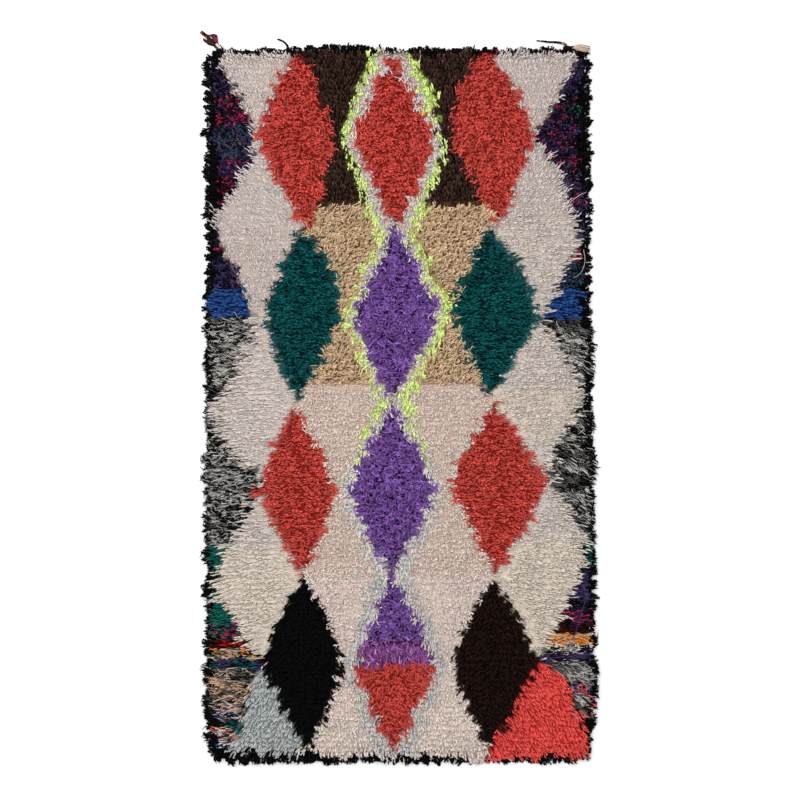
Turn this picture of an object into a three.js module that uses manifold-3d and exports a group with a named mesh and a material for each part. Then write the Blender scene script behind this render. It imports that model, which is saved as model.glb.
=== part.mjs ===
// A hand-knotted rag rug with a deep shaggy pile, lying flat on the floor.
// Millimetres, +Z up, X across the rug, +Y towards the end with the corner tassel. The floor is z = 0.
//
// The rug is one solid: a flat underside, a lumpy top of crowded wool tufts that rolls down to a low rim,
// and a lock of pile at each step round that rim. Beside it lie the ends of its ground weave, each its own
// solid: a knotted tassel at one corner, a cut bundle with a long end at the other, and one stray end.
import * as THREE from "three";
import { mergeVertices } from "three/addons/utils/BufferGeometryUtils.js";
import Module from "manifold-3d";

const wasm = await Module();
wasm.setup();

// Driving dimensions
const BODY_WIDTH = 985; // between the sides, without the locks
const BODY_LENGTH = 1825; // between the ends, without the locks
const PILE_HEIGHT = 23; // usual height of the tufts above the floor
const SHOULDER_HEIGHT = 17; // where the pile starts to roll over, one edge cell in
const RIM_HEIGHT = 9; // where the pile meets the woven edge
const EDGE_CELL = 13; // width of the cell that rolls over, all round
const TUFT_COLUMNS = 32; // tufts across and along, without the edge cells
const TUFT_ROWS = 60;
const TUFT_LUMP = 4.2; // how far a tuft stands above or below its neighbours
const TUFT_DRIFT = 5; // how far a tuft strays from its row and column
const SWELL_HEIGHT = 1.6; // slow waves of the whole pile
const SWELL_LENGTH = 330;
const RIM_UNEVEN = 2;
const PIECE_GAP = 0.3; // between the rug and what lies against it

const CORNER_RADIUS = { bottomLeft: 36, bottomRight: 30, topRight: 9, topLeft: 20 };

// How far each edge wanders outwards, along it from the left or from the bottom
const EDGE_WANDER = [
  { at: 0.0, left: -4, right: 3, bottom: 0, top: -2 },
  { at: 0.17, left: -2, right: 7, bottom: 2, top: 0 },
  { at: 0.33, left: -3, right: 4, bottom: -1, top: 7 },
  { at: 0.5, left: -6, right: -2, bottom: 0, top: 1 },
  { at: 0.67, left: 0, right: -4, bottom: 2, top: 0 },
  { at: 0.83, left: 2, right: -3, bottom: -1, top: 2 },
  { at: 1.0, left: -1, right: -6, bottom: -2, top: -2 },
];

// The locks of pile at the rim: how far they reach past each edge
const LOCK_REACH = {
  bottom: { least: 4, most: 14 },
  right: { least: 4, most: 16 },
  top: { least: 2, most: 8 },
  left: { least: 4, most: 14 },
};
const LOCK_ROOT = { narrowest: 0.34, widest: 0.56 }; // share of a rim cell
const LOCK_SWAY = 0.45; // sideways reach of a tip, as a share of its reach
const LOCK_MIDDLE = { out: 0.55, width: 0.7, height: 0.62 }; // where a lock bends down, as shares
const LOCK_CELL = 20; // a rim cell shorter than this has no lock

// The long lock that stands furthest out of the right edge
const LONGEST_LOCK = { side: "right", at: 0.42, reach: 24 };

// The knotted tassel at the top left corner, from its root outwards
const TASSEL_ROOT = { fromLeft: 33, aboveTop: 2.4 };
const TASSEL_HEADING = 137; // degrees from +X
const TASSEL_SECTIONS = [
  { along: 0, width: 7, height: 5 },
  { along: 9, width: 6, height: 5 },
  { along: 13, width: 12, height: 8 },
  { along: 20, width: 18, height: 12 },
  { along: 30, width: 24, height: 14 },
  { along: 38, width: 22, height: 12 },
  { along: 43, width: 11, height: 8 },
  { along: 46, width: 6, height: 5 },
];
const TASSEL_STRANDS = [
  { along: 40, across: 3, turn: 6, length: 25, width: 5.5, height: 5, tipWidth: 3, tipHeight: 3 },
  { along: 36, across: 8, turn: 52, length: 12, width: 5, height: 5, tipWidth: 3, tipHeight: 3 },
  { along: 32, across: -7, turn: -38, length: 13, width: 4.5, height: 4, tipWidth: 2, tipHeight: 2 },
];

// The cut ends at the top right corner: a strip along the edge, a thick bundle and one long end
const ENDS_STRIP = { fromRight: 56, length: 30, depth: 7, height: 6 };
const BUNDLE = { heading: 0, length: 44, width: 12, tipWidth: 8, height: 7, tipHeight: 4 };
const LONG_END = [
  { across: -64, above: 4, width: 6, height: 6 },
  { across: -66, above: 10, width: 6, height: 5 },
  { across: -72, above: 14, width: 5, height: 5 },
  { across: -84, above: 16, width: 4.5, height: 4 },
  { across: -112, above: 18, width: 5, height: 4 },
  { across: -130, above: 20, width: 4, height: 3 },
  { across: -142, above: 21, width: 1.5, height: 1.5 },
];

// One stray end of the ground weave on the top edge, measured from the left side
const STRAY_END = [
  { across: 211, above: 0.3, width: 7, height: 5 },
  { across: 211, above: 3, width: 5, height: 4 },
  { across: 206, above: 10, width: 4, height: 4 },
  { across: 199, above: 17, width: 3.5, height: 3.5 },
  { across: 190, above: 22, width: 3, height: 3 },
  { across: 180, above: 25, width: 1.5, height: 1.5 },
];

const ROUND_SIDES = 8;
const STRAND_SIDES = 4;

const halfWidth = BODY_WIDTH / 2;
const halfLength = BODY_LENGTH / 2;

// A repeatable number from 0 to 1 for two whole numbers
function scatter(a, b) {
  const wave = Math.sin(a * 127.1 + b * 311.7) * 43758.5453;
  return wave - Math.floor(wave);
}

const between = (low, high, share) => low + (high - low) * share;

// How far one edge wanders outwards at a share of its length
function edgeWander(side, share) {
  const last = EDGE_WANDER.length - 1;
  const next = Math.min(last, Math.max(1, EDGE_WANDER.findIndex((row) => row.at >= share)));
  const [from, to] = [EDGE_WANDER[next - 1], EDGE_WANDER[next]];
  return between(from[side], to[side], THREE.MathUtils.smoothstep(share, from.at, to.at));
}

// How far from the middle the top edge runs
const topEdge = (x) => halfLength + edgeWander("top", x / BODY_WIDTH + 0.5);

// Vertices and triangles of one closed surface
class Surface {
  points = [];
  faces = [];

  // Adds one vertex and gives its number
  point(x, y, z) {
    this.points.push(x, y, z);
    return this.points.length / 3 - 1;
  }

  // A flat or nearly flat polygon, listed anticlockwise from outside
  fan(...corners) {
    for (let k = 1; k < corners.length - 1; k++) this.faces.push(corners[0], corners[k], corners[k + 1]);
  }

  // The side of a tube from one ring of points to the next one further out
  collar(inner, outer) {
    inner.forEach((p, k) => {
      const next = (k + 1) % inner.length;
      this.fan(p, inner[next], outer[next], outer[k]);
    });
  }

  geometry() {
    const made = new THREE.BufferGeometry();
    made.setAttribute("position", new THREE.Float32BufferAttribute(this.points, 3));
    made.setIndex(this.faces);
    made.computeVertexNormals();
    return made;
  }
}

// Grid lines from one edge to the other: a narrow cell, even cells, and a narrow cell
function gridLines(length, cells) {
  const even = (length - 2 * EDGE_CELL) / cells;
  const inner = Array.from({ length: cells + 1 }, (_, k) => -length / 2 + EDGE_CELL + k * even);
  return [-length / 2, ...inner, length / 2];
}

// A place on the straight rectangle, moved onto the rug's rounded and wandering outline
function onOutline(x, y) {
  const radius = CORNER_RADIUS[(y < 0 ? "bottom" : "top") + (x < 0 ? "Left" : "Right")];
  const pastX = Math.max(0, Math.abs(x) - (halfWidth - radius)) / radius;
  const pastY = Math.max(0, Math.abs(y) - (halfLength - radius)) / radius;
  const roundX = x - Math.sign(x) * radius * pastX * (1 - Math.sqrt(1 - pastY ** 2 / 2));
  const roundY = y - Math.sign(y) * radius * pastY * (1 - Math.sqrt(1 - pastX ** 2 / 2));
  const [across, along] = [x / BODY_WIDTH + 0.5, y / BODY_LENGTH + 0.5];
  return {
    x: roundX + between(-edgeWander("left", along), edgeWander("right", along), across),
    y: roundY + between(-edgeWander("bottom", across), edgeWander("top", across), along),
  };
}

// How high the pile stands at a grid point that is `inset` cells from the nearest edge
function pileHeight(column, row, inset, x, y) {
  const lump = 2 * scatter(column, row) - 1;
  if (inset === 0) return RIM_HEIGHT + RIM_UNEVEN * lump;
  if (inset === 1) return SHOULDER_HEIGHT + RIM_UNEVEN * lump;
  const swell = Math.sin((x + 0.4 * y) / SWELL_LENGTH * Math.PI) * Math.cos(y / SWELL_LENGTH * Math.PI);
  return PILE_HEIGHT + TUFT_LUMP * lump + SWELL_HEIGHT * swell;
}

// The grid of tufts, as rows of point numbers
function pileGrid(surface) {
  const columns = gridLines(BODY_WIDTH, TUFT_COLUMNS);
  const rows = gridLines(BODY_LENGTH, TUFT_ROWS);
  return rows.map((y, j) =>
    columns.map((x, i) => {
      const inset = Math.min(i, j, columns.length - 1 - i, rows.length - 1 - j);
      const stray = inset > 1 ? TUFT_DRIFT : 0;
      const driftX = stray * (2 * scatter(i + 11, j) - 1);
      const driftY = stray * (2 * scatter(i, j + 17) - 1);
      const at = onOutline(x + driftX, y + driftY);
      return surface.point(at.x, at.y, pileHeight(i, j, inset, x, y));
    }),
  );
}

// The pile's top between the grid points, without the outermost cells
function addPileTop(surface, grid) {
  for (let j = 1; j < grid.length - 2; j++) {
    for (let i = 1; i < grid[j].length - 2; i++) {
      const corners = [grid[j][i], grid[j][i + 1], grid[j + 1][i + 1], grid[j + 1][i]];
      const turned = (i + j) % 2 ? [...corners.slice(1), corners[0]] : corners;
      surface.fan(...turned);
    }
  }
}

// The grid points round the rim, anticlockwise from the bottom left, with the side each step runs along
function rimSteps(grid) {
  const [right, top] = [grid[0].length - 1, grid.length - 1];
  const steps = [];
  for (let i = 0; i < right; i++) steps.push({ i, j: 0, side: "bottom" });
  for (let j = 0; j < top; j++) steps.push({ i: right, j, side: "right" });
  for (let i = right; i > 0; i--) steps.push({ i, j: top, side: "top" });
  for (let j = top; j > 0; j--) steps.push({ i: 0, j, side: "left" });
  return steps;
}

// Stretches of the top edge, as distances from the middle, where other pieces start and no lock stands
const KEPT_FREE = [
  { from: -halfWidth, to: -halfWidth + TASSEL_ROOT.fromLeft + 25 },
  { from: -halfWidth + STRAY_END[0].across - 25, to: -halfWidth + STRAY_END[0].across + 25 },
  { from: halfWidth - ENDS_STRIP.fromRight - 30, to: halfWidth },
];

function lockStands(side, start, end) {
  if (Math.hypot(end.x - start.x, end.y - start.y) < LOCK_CELL) return false;
  if (side !== "top") return true;
  return !KEPT_FREE.some(({ from, to }) => Math.min(start.x, end.x) < to && Math.max(start.x, end.x) > from);
}

// How far the lock on one rim cell reaches past the edge
function lockReach(side, step, middle) {
  const along = middle.y / BODY_LENGTH + 0.5;
  const cell = 1 / TUFT_ROWS;
  if (side === LONGEST_LOCK.side && Math.abs(along - LONGEST_LOCK.at) < cell / 2) return LONGEST_LOCK.reach;
  return between(LOCK_REACH[side].least, LOCK_REACH[side].most, scatter(step, 71));
}

// A lock from the wall between two pairs of points: it lies level on the floor and narrows to a tip
function addLock(surface, root, start, end, reach, step) {
  const along = new THREE.Vector2(end.x - start.x, end.y - start.y);
  const width = along.length();
  along.normalize();
  const out = new THREE.Vector2(along.y, -along.x);
  const sway = LOCK_SWAY * reach * (2 * scatter(step, 83) - 1);
  const centre = new THREE.Vector2((start.x + end.x) / 2, (start.y + end.y) / 2);
  const bend = centre.clone().addScaledVector(out, reach * LOCK_MIDDLE.out);
  bend.addScaledVector(along, sway * LOCK_MIDDLE.out ** 2);
  const half = (width * LOCK_MIDDLE.width) / 2;
  const height = RIM_HEIGHT * LOCK_MIDDLE.height;
  const corner = (side, z) => surface.point(bend.x + along.x * side, bend.y + along.y * side, z);
  const middle = [corner(-half, 0), corner(half, 0), corner(half, height), corner(-half, height)];
  const far = centre.addScaledVector(out, reach).addScaledVector(along, sway);
  const tip = surface.point(far.x, far.y, 0);
  surface.collar(root, middle);
  middle.forEach((p, k) => surface.fan(p, middle[(k + 1) % middle.length], tip));
}

// The rim: the cells that roll over, the low wall with its locks, and the ring of points on the floor
function addRim(surface, grid) {
  const steps = rimSteps(grid);
  const place = (p) => new THREE.Vector3().fromArray(surface.points, 3 * p);
  const onFloor = (p) => surface.point(surface.points[3 * p], surface.points[3 * p + 1], 0);
  const rim = steps.map(({ i, j }) => grid[j][i]);
  const floor = rim.map(onFloor);
  const inward = steps.map(({ i, j }) => {
    const row = Math.min(Math.max(j, 1), grid.length - 2);
    return grid[row][Math.min(Math.max(i, 1), grid[row].length - 2)];
  });
  const outline = [];
  steps.forEach(({ side }, k) => {
    const next = (k + 1) % steps.length;
    const [start, end] = [place(rim[k]), place(rim[next])];
    let tops = [rim[k], rim[next]];
    let feet = [floor[k], floor[next]];
    if (lockStands(side, start, end)) {
      const share = between(LOCK_ROOT.narrowest, LOCK_ROOT.widest, scatter(k, 29));
      const shift = between(0.15, 0.85 - share, scatter(k, 41));
      const ends = [shift, shift + share].map((t) => start.clone().lerp(end, t));
      const [left, right] = ends.map((p) => surface.point(p.x, p.y, p.z));
      tops = [rim[k], left, right, rim[next]];
      feet = [floor[k], onFloor(left), onFloor(right), floor[next]];
      const middle = start.clone().lerp(end, shift + share / 2);
      addLock(surface, [feet[1], feet[2], right, left], ...ends, lockReach(side, k, middle), k);
    }
    for (let n = 0; n < tops.length - 1; n++) {
      if (tops.length === 4 && n === 1) continue; // the lock covers this stretch of wall
      surface.fan(feet[n], feet[n + 1], tops[n + 1], tops[n]);
    }
    const inner = inward[k] === inward[next] ? [inward[k]] : [inward[next], inward[k]];
    surface.fan(inner.at(-1), ...tops, ...inner.slice(0, -1));
    outline.push(...feet.slice(0, -1));
  });
  return outline;
}

// The flat underside, inside the ring of points on the floor
function addUnderside(surface, outline) {
  const ring = outline.map((p) => new THREE.Vector2(surface.points[3 * p], surface.points[3 * p + 1]));
  for (const [a, b, c] of THREE.ShapeUtils.triangulateShape(ring, [])) {
    surface.fan(outline[a], outline[c], outline[b]);
  }
}

function rugGeometry() {
  const surface = new Surface();
  const grid = pileGrid(surface);
  addPileTop(surface, grid);
  addUnderside(surface, addRim(surface, grid));
  return surface.geometry();
}

// A strand or knot that lies level on the floor: a section at each place, square to the way it runs
function restingLoft(sections, sides) {
  const surface = new Surface();
  const flat = Math.cos(Math.PI / sides); // brings the lowest side of a section onto the floor
  const rings = sections.map(({ x, y, width, height }, k) => {
    const [from, to] = [sections[Math.max(0, k - 1)], sections[Math.min(sections.length - 1, k + 1)]];
    const run = new THREE.Vector2(to.x - from.x, to.y - from.y).normalize();
    return Array.from({ length: sides }, (_, n) => {
      const angle = ((n + 0.5) / sides) * 2 * Math.PI;
      const across = ((width / 2) * Math.cos(angle)) / flat;
      const up = (height / 2) * (1 + Math.sin(angle) / flat);
      return surface.point(x - run.y * across, y + run.x * across, up);
    });
  });
  surface.fan(...rings[0].toReversed());
  rings.slice(1).forEach((ring, k) => surface.collar(rings[k], ring));
  surface.fan(...rings.at(-1));
  return surface.geometry();
}

// Several closed surfaces joined into one solid
function joined(geometries) {
  const solids = geometries.map((geometry) => {
    const bare = geometry.clone();
    bare.deleteAttribute("normal");
    const merged = mergeVertices(bare);
    const vertProperties = new Float32Array(merged.attributes.position.array);
    const triVerts = new Uint32Array(merged.index.array);
    return new wasm.Manifold(new wasm.Mesh({ numProp: 3, vertProperties, triVerts }));
  });
  const mesh = solids.reduce((whole, piece) => whole.add(piece)).getMesh();
  const made = new THREE.BufferGeometry();
  made.setAttribute("position", new THREE.BufferAttribute(mesh.vertProperties, 3));
  made.setIndex(new THREE.BufferAttribute(mesh.triVerts, 1));
  made.computeVertexNormals();
  return made;
}

// A point reached from another one by going along a heading and then across it to the left
function alongHeading(start, degrees, along, across = 0) {
  const turn = THREE.MathUtils.degToRad(degrees);
  const [cos, sin] = [Math.cos(turn), Math.sin(turn)];
  return { x: start.x + cos * along - sin * across, y: start.y + sin * along + cos * across };
}

// A straight strand that narrows towards its tip
function taperedStrand(start, { heading, length, width, height, tipWidth, tipHeight }) {
  const sections = [
    { ...start, width, height },
    { ...alongHeading(start, heading, length * 0.6), width, height },
    { ...alongHeading(start, heading, length), width: tipWidth, height: tipHeight },
  ];
  return restingLoft(sections, STRAND_SIDES);
}

// The knotted tassel: a neck and a fat knot, with loose strands past the knot
function tasselGeometry() {
  const cornerX = -halfWidth + TASSEL_ROOT.fromLeft;
  const root = { x: cornerX, y: topEdge(cornerX) + TASSEL_ROOT.aboveTop };
  const knot = TASSEL_SECTIONS.map(({ along, width, height }) => ({
    ...alongHeading(root, TASSEL_HEADING, along),
    width,
    height,
  }));
  const strands = TASSEL_STRANDS.map(({ along, across, turn, ...strand }) => {
    const start = alongHeading(root, TASSEL_HEADING, along, across);
    return taperedStrand(start, { ...strand, heading: TASSEL_HEADING + turn });
  });
  return joined([restingLoft(knot, ROUND_SIDES), ...strands]);
}

// The cut ends: a strip that lies along the top edge, with the bundle and the long end growing out of it
function cutEndsGeometry() {
  const { fromRight, length, depth, height } = ENDS_STRIP;
  const stripEnds = [halfWidth - fromRight - length / 2, halfWidth - fromRight + length / 2];
  const edge = Math.max(...stripEnds.map(topEdge)) + PIECE_GAP;
  const strip = stripEnds.map((x) => ({ x, y: edge + depth / 2, width: depth, height }));
  const bundleStart = { x: stripEnds[1] - depth, y: edge + BUNDLE.width / 2 };
  const longEnd = LONG_END.map(({ across, above, width, height: high }) => ({
    x: halfWidth + across,
    y: edge + above,
    width,
    height: high,
  }));
  return joined([
    restingLoft(strip, STRAND_SIDES),
    taperedStrand(bundleStart, BUNDLE),
    restingLoft(longEnd, STRAND_SIDES),
  ]);
}

// The stray end, bent over to the left
function strayEndGeometry() {
  const startX = -halfWidth + STRAY_END[0].across;
  const edge = topEdge(startX) + PIECE_GAP;
  const sections = STRAY_END.map(({ across, above, width, height }) => ({
    x: -halfWidth + across,
    y: edge + above,
    width,
    height,
  }));
  return restingLoft(sections, STRAND_SIDES);
}

function piece(name, geometry, color, roughness) {
  const mesh = new THREE.Mesh(geometry, new THREE.MeshStandardMaterial({ color, roughness, metalness: 0 }));
  mesh.name = name;
  return mesh;
}

const rug = new THREE.Group();
rug.add(
  piece("rug", rugGeometry(), 0xc1b5af, 0.95),
  piece("corner_tassel", tasselGeometry(), 0x4a2622, 0.9),
  piece("cut_ends", cutEndsGeometry(), 0xa08a78, 0.9),
  piece("stray_end", strayEndGeometry(), 0x1c1815, 0.9),
);

// The origin is on the floor, under the middle of everything
const middle = new THREE.Box3().setFromObject(rug, true).getCenter(new THREE.Vector3());
rug.children.forEach((mesh) => mesh.position.set(-middle.x, -middle.y, 0));

export default rug;
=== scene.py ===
"""The looks of a hand-knotted shag rug: wool tufts on a woven ground, a corner tassel and loose weave ends.

Metres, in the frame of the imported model: X across the rug, +Y towards the end with the tassel, +Z up.
The pattern's own places are measured from the middle of the rug's body.
"""
import math
from collections import namedtuple

import bpy
import numpy as np
from mathutils.bvhtree import BVHTree
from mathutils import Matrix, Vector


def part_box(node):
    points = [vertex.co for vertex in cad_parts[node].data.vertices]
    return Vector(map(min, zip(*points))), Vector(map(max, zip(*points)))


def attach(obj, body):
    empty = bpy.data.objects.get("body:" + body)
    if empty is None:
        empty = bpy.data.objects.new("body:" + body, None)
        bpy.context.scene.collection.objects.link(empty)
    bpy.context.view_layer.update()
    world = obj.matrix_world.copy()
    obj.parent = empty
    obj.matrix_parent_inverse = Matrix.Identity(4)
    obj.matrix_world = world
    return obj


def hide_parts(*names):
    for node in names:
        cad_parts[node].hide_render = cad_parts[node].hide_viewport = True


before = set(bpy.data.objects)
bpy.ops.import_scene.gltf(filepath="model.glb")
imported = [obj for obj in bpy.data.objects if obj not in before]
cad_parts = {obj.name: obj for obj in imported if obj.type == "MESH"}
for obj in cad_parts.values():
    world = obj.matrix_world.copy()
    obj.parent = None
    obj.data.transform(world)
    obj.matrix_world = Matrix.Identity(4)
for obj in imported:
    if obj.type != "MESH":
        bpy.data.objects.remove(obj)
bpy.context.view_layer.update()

SEED = 20
rng = np.random.default_rng(SEED)

# Where the rug lies. Its locks reach further out on some sides, so the body's middle is off the box's
RUG_LOW, RUG_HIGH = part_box("rug")
LOCK_BIAS = (-0.0043, 0.0006)
MIDDLE = tuple((RUG_LOW[k] + RUG_HIGH[k]) / 2 + LOCK_BIAS[k] for k in range(2))
RUG_FLAT = (0.985, 1.825)  # as woven, without the locks

# Knots and the places of their strands. Pairs are across and along
STRAND_PITCH = (0.0024, 0.0068)  # between the places where a strand can stand
SQUARE_MM = 1e6  # in a square metre
KNOT = (0.011, 0.013)  # one knot's share of the rug
KNOT_STRAY = 0.005  # how far the rows of knots wander
WANDER_PITCH = (0.045, 0.035)
ROW_SHIFT = 0.013  # how far one row's pattern is off its place
ROW_SHIFT_PITCH = 0.05
EDGE_CLEAR = 0.003  # no strand is rooted closer to the edge
BARE_CELL = 0.0055  # a bare place this large gets a strand of its own
COVERED = (0.25, 0.5, 0.75, 1.0)  # where along its reach a strand covers the rug
FILLING_LENGTH = 0.6

# How strands lie
SHOWN_SHARE = 0.55  # a strand shows this far from its root, as a share of its reach
REACH_VARIES = 0.22
SHORTEST = 0.005
STRAY_SHARE, STRAY_LENGTH = 0.28, 1.5  # near another zone, some strands lie on top and reach over it
STRAY_LEAST = 0.014  # no shorter strands do that
TURN_PITCH = (0.040, 0.026)  # how far a change of heading runs
TURN_MIX = (0.7, 0.6, 0.4)  # how much a heading varies from place to place, from knot to knot, and on its own
FAN_MIX = (3.3, 0.2)  # how fast a fan opens from its axis, and how much that varies from knot to knot
PARTED_MIX = (5.0, 1.2, 0.6)  # the same for fans that are parted, and how much strands vary on their own
STREAK_PITCH = (0.045, 0.010)  # how far a streak of mixed yarn runs
STREAK_MIX = (0.9, 0.5, 0.5)  # how much the yarn varies, as for headings
RIDGE_PITCH = 0.0165  # between the ridges that the rows of knots make
RIDGE_WANDER, RIDGE_WANDER_PITCH = 0.010, (0.12, 0.05)
RIDGE_DROP_AND_SHADE = 0.30  # how much lower the wool lies between ridges, and how much darker it is painted there as shade

# The rim: the pile's outline swells and draws back along the edges. For the left, right, bottom and top edge:
# the way out, the way along, how far the pile stands out on average, how much that varies, and how far its
# locks lean along the edge
Edge = namedtuple("Edge", "out along stands varies leans")
RUG_EDGES = [
    Edge((-1, 0), (0, 1), 0.0045, 0.011, 0.4),
    Edge((1, 0), (0, 1), 0.0045, 0.009, 0.4),
    Edge((0, -1), (1, 0), 0.0035, 0.008, 0.0),
    Edge((0, 1), (1, 0), 0.0010, 0.007, 0.0),
]
RIM_WIDTH = 0.022
RIM_OUTER = 0.008  # from here to the edge, strands are turned outwards altogether
RIM_TUFT = 0.013  # half the way from one swelling to the next
RIM_FINE = 0.4  # how long and how deep the fine swellings are, as a share of the large ones
RIM_SLOPE_STEP = 0.3
RIM_LEAN, RIM_SCATTER = 0.9, 0.22  # how far strands lean towards the middle of their swelling, and vary
RIM_REACH = (0.72, 1.06)  # where strands end, as shares of the way to the outline
RIM_ROOM = 0.6  # the rim's strands stand closer
CORNER_DROP, CORNER_RUN = 0.012, 0.045  # the rim draws back this far towards a corner
OVERHANG = 0.003  # no strand reaches further past the rim's outline
LEAST_OUT = 0.15
PARTING = 0.3  # the least share of its reach that a strand keeps where strands part towards the rim

# Yarns: the colour at the tip (sRGB), a darker colour at the root (sRGB) that is painted shade deep in the
# pile, thickness, the rug's area per strand in square millimetres, and how much strands differ
Yarn = namedtuple("Yarn", "tip root thick room differ")
YARNS = {
    "white": Yarn((218, 208, 204), (186, 168, 158), 0.0031, 19, 0.035),
    "fleece": Yarn((213, 203, 196), (196, 184, 175), 0.0038, 23, 0.03),
    "ivory": Yarn((216, 205, 192), (208, 195, 180), 0.0042, 25, 0.03),
    "cream": Yarn((217, 205, 194), (204, 190, 176), 0.0038, 24, 0.03),
    "pink": Yarn((228, 213, 202), (196, 171, 159), 0.0035, 20, 0.04),
    "blush": Yarn((231, 217, 209), (211, 191, 181), 0.0036, 19, 0.05),
    "tan": Yarn((220, 191, 155), (118, 83, 51), 0.0031, 21, 0.10),
    "coral": Yarn((219, 85, 75), (128, 29, 24), 0.0030, 18, 0.17),
    "rose": Yarn((248, 93, 87), (184, 47, 43), 0.0032, 20, 0.08),
    "teal": Yarn((14, 90, 91), (2, 29, 30), 0.0031, 19, 0.26),
    "purple": Yarn((139, 96, 176), (37, 19, 56), 0.0030, 18, 0.27),
    "mauve": Yarn((146, 88, 152), (48, 20, 52), 0.0030, 18, 0.38),
    "brown": Yarn((65, 44, 35), (20, 13, 11), 0.0042, 32, 0.31),
    "umber": Yarn((38, 21, 17), (13, 7, 6), 0.0040, 33, 0.12),
    "black": Yarn((10, 9, 10), (4, 4, 4), 0.0046, 38, 0.12),
    "lime": Yarn((222, 241, 150), (172, 192, 100), 0.0040, 21, 0.07),
    "mist": Yarn((210, 213, 210), (176, 177, 173), 0.0034, 22, 0.06),
    "blue_grey": Yarn((183, 187, 186), (139, 144, 143), 0.0042, 28, 0.05),
    "navy": Yarn((45, 40, 68), (12, 10, 20), 0.0023, 17, 0.32),
    "violet": Yarn((78, 63, 110), (28, 21, 42), 0.0022, 16, 0.18),
    "magenta": Yarn((186, 46, 94), (56, 11, 30), 0.0026, 23, 0.16),
    "cobalt": Yarn((44, 85, 154), (12, 26, 60), 0.0040, 30, 0.12),
    "pine": Yarn((24, 102, 92), (4, 34, 30), 0.0030, 24, 0.16),
    "red": Yarn((182, 30, 26), (64, 6, 6), 0.0036, 28, 0.15),
    "maroon": Yarn((72, 14, 16), (22, 4, 4), 0.0038, 30, 0.18),
    "orange": Yarn((232, 138, 48), (164, 84, 26), 0.0034, 23, 0.10),
    "salmon": Yarn((204, 160, 130), (110, 80, 60), 0.0027, 20, 0.10),
    "fawn": Yarn((206, 182, 160), (110, 92, 80), 0.0026, 19, 0.10),
    "olive": Yarn((64, 51, 34), (28, 22, 14), 0.0040, 30, 0.15),
    "ash": Yarn((196, 192, 186), (40, 39, 38), 0.0020, 15, 0.10),
    "slate": Yarn((92, 90, 88), (20, 19, 19), 0.0023, 17, 0.20),
}
YARN_NAMES = list(YARNS)

# How the tips lie: heading (degrees from +X), how much it varies, how far a tip reaches from its root, how
# far the heading fans out to both sides of a motif's axis, the tip's height against the pile's, how far a
# strand curls aside as a share of its reach, and how strongly the rows of knots show, in wool that lies lower
# and is painted darker as shade between them
Lay = namedtuple("Lay", "heading spread reach fan lift curl ridge")
WIDE_FAN = 40  # from here on a fan is parted: strands lie to both sides and none between
LAYS = {
    "curly": Lay(-90, 105, 0.0145, 0, 1.00, 0.28, 0.45),
    "strung": Lay(-86, 28, 0.020, 0, 1.03, 0.15, 0.1),
    "tufted_left": Lay(120, 45, 0.015, 0, 0.98, 0.15, 0.5),
    "swept_left": Lay(142, 26, 0.022, 0, 0.92, 0.12, 0.8),
    "swept_right": Lay(34, 26, 0.022, 0, 0.92, 0.12, 1.0),
    "slanting": Lay(42, 38, 0.016, 0, 0.97, 0.20, 0.6),
    "raised_left": Lay(118, 42, 0.017, 0, 0.96, 0.14, 0.5),
    "raised_right": Lay(62, 42, 0.017, 0, 0.96, 0.14, 0.5),
    "up": Lay(96, 28, 0.017, 0, 0.94, 0.14, 0.5),
    "down": Lay(-86, 34, 0.018, 0, 0.94, 0.16, 0.25),
    "down_fan": Lay(-88, 26, 0.016, 42, 0.94, 0.14, 0.5),
    "side_fan": Lay(-90, 24, 0.018, 80, 0.92, 0.18, 0.75),
    "tangled": Lay(-90, 40, 0.018, 46, 0.96, 0.20, 0.60),
    "wavy": Lay(-90, 38, 0.016, 72, 0.98, 0.32, 0.95),
    "combed_left": Lay(183, 11, 0.032, 0, 0.88, 0.07, 0.8),
    "combed_rising": Lay(192, 12, 0.034, 0, 0.88, 0.07, 0.6),
    "combed_falling": Lay(-10, 13, 0.032, 0, 0.88, 0.07, 0.6),
    "combed_right": Lay(4, 16, 0.024, 0, 0.90, 0.10, 1.0),
    "fuzzy_left": Lay(178, 75, 0.012, 0, 1.00, 0.32, 0.3),
    "fuzzy_right": Lay(2, 75, 0.012, 0, 1.00, 0.32, 0.3),
    "hairy_left": Lay(178, 19, 0.042, 0, 0.96, 0.13, 0.2),
    "hairy_right": Lay(-24, 19, 0.042, 0, 0.96, 0.13, 0.2),
    "level_left": Lay(176, 16, 0.026, 0, 0.92, 0.12, 0.2),
    "level_right": Lay(2, 16, 0.026, 0, 0.92, 0.12, 0.2),
    "rowed_left": Lay(178, 10, 0.024, 0, 0.92, 0.10, 1.2),
    "rowed_right": Lay(-12, 14, 0.024, 0, 0.92, 0.10, 1.2),
    "falling_left": Lay(-122, 20, 0.024, 0, 0.90, 0.10, 0.2),
    "falling_right": Lay(-48, 24, 0.020, 0, 0.92, 0.12, 0.3),
    "hanging": Lay(-90, 42, 0.026, 0, 0.98, 0.20, 0.8),
    "outward": Lay(0, 20, 0.016, 0, 0.85, 0.15, 0.0),
}

# The three columns of lozenges, from the top: the four corners of each, how full its sides are (above 1 they
# bulge: upper left, upper right, lower left, lower right), and its yarns with their lays, which change
# downwards at the given heights
Corner = namedtuple("Corner", "x y")
Lozenge = namedtuple("Lozenge", "top right bottom left full yarns lays changes")


def lozenge(top, right, bottom, left, full, yarns, lays, *changes):
    corners = (Corner(*corner) for corner in (top, right, bottom, left))
    return Lozenge(*corners, full, yarns.split(), lays.split(), changes)


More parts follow.
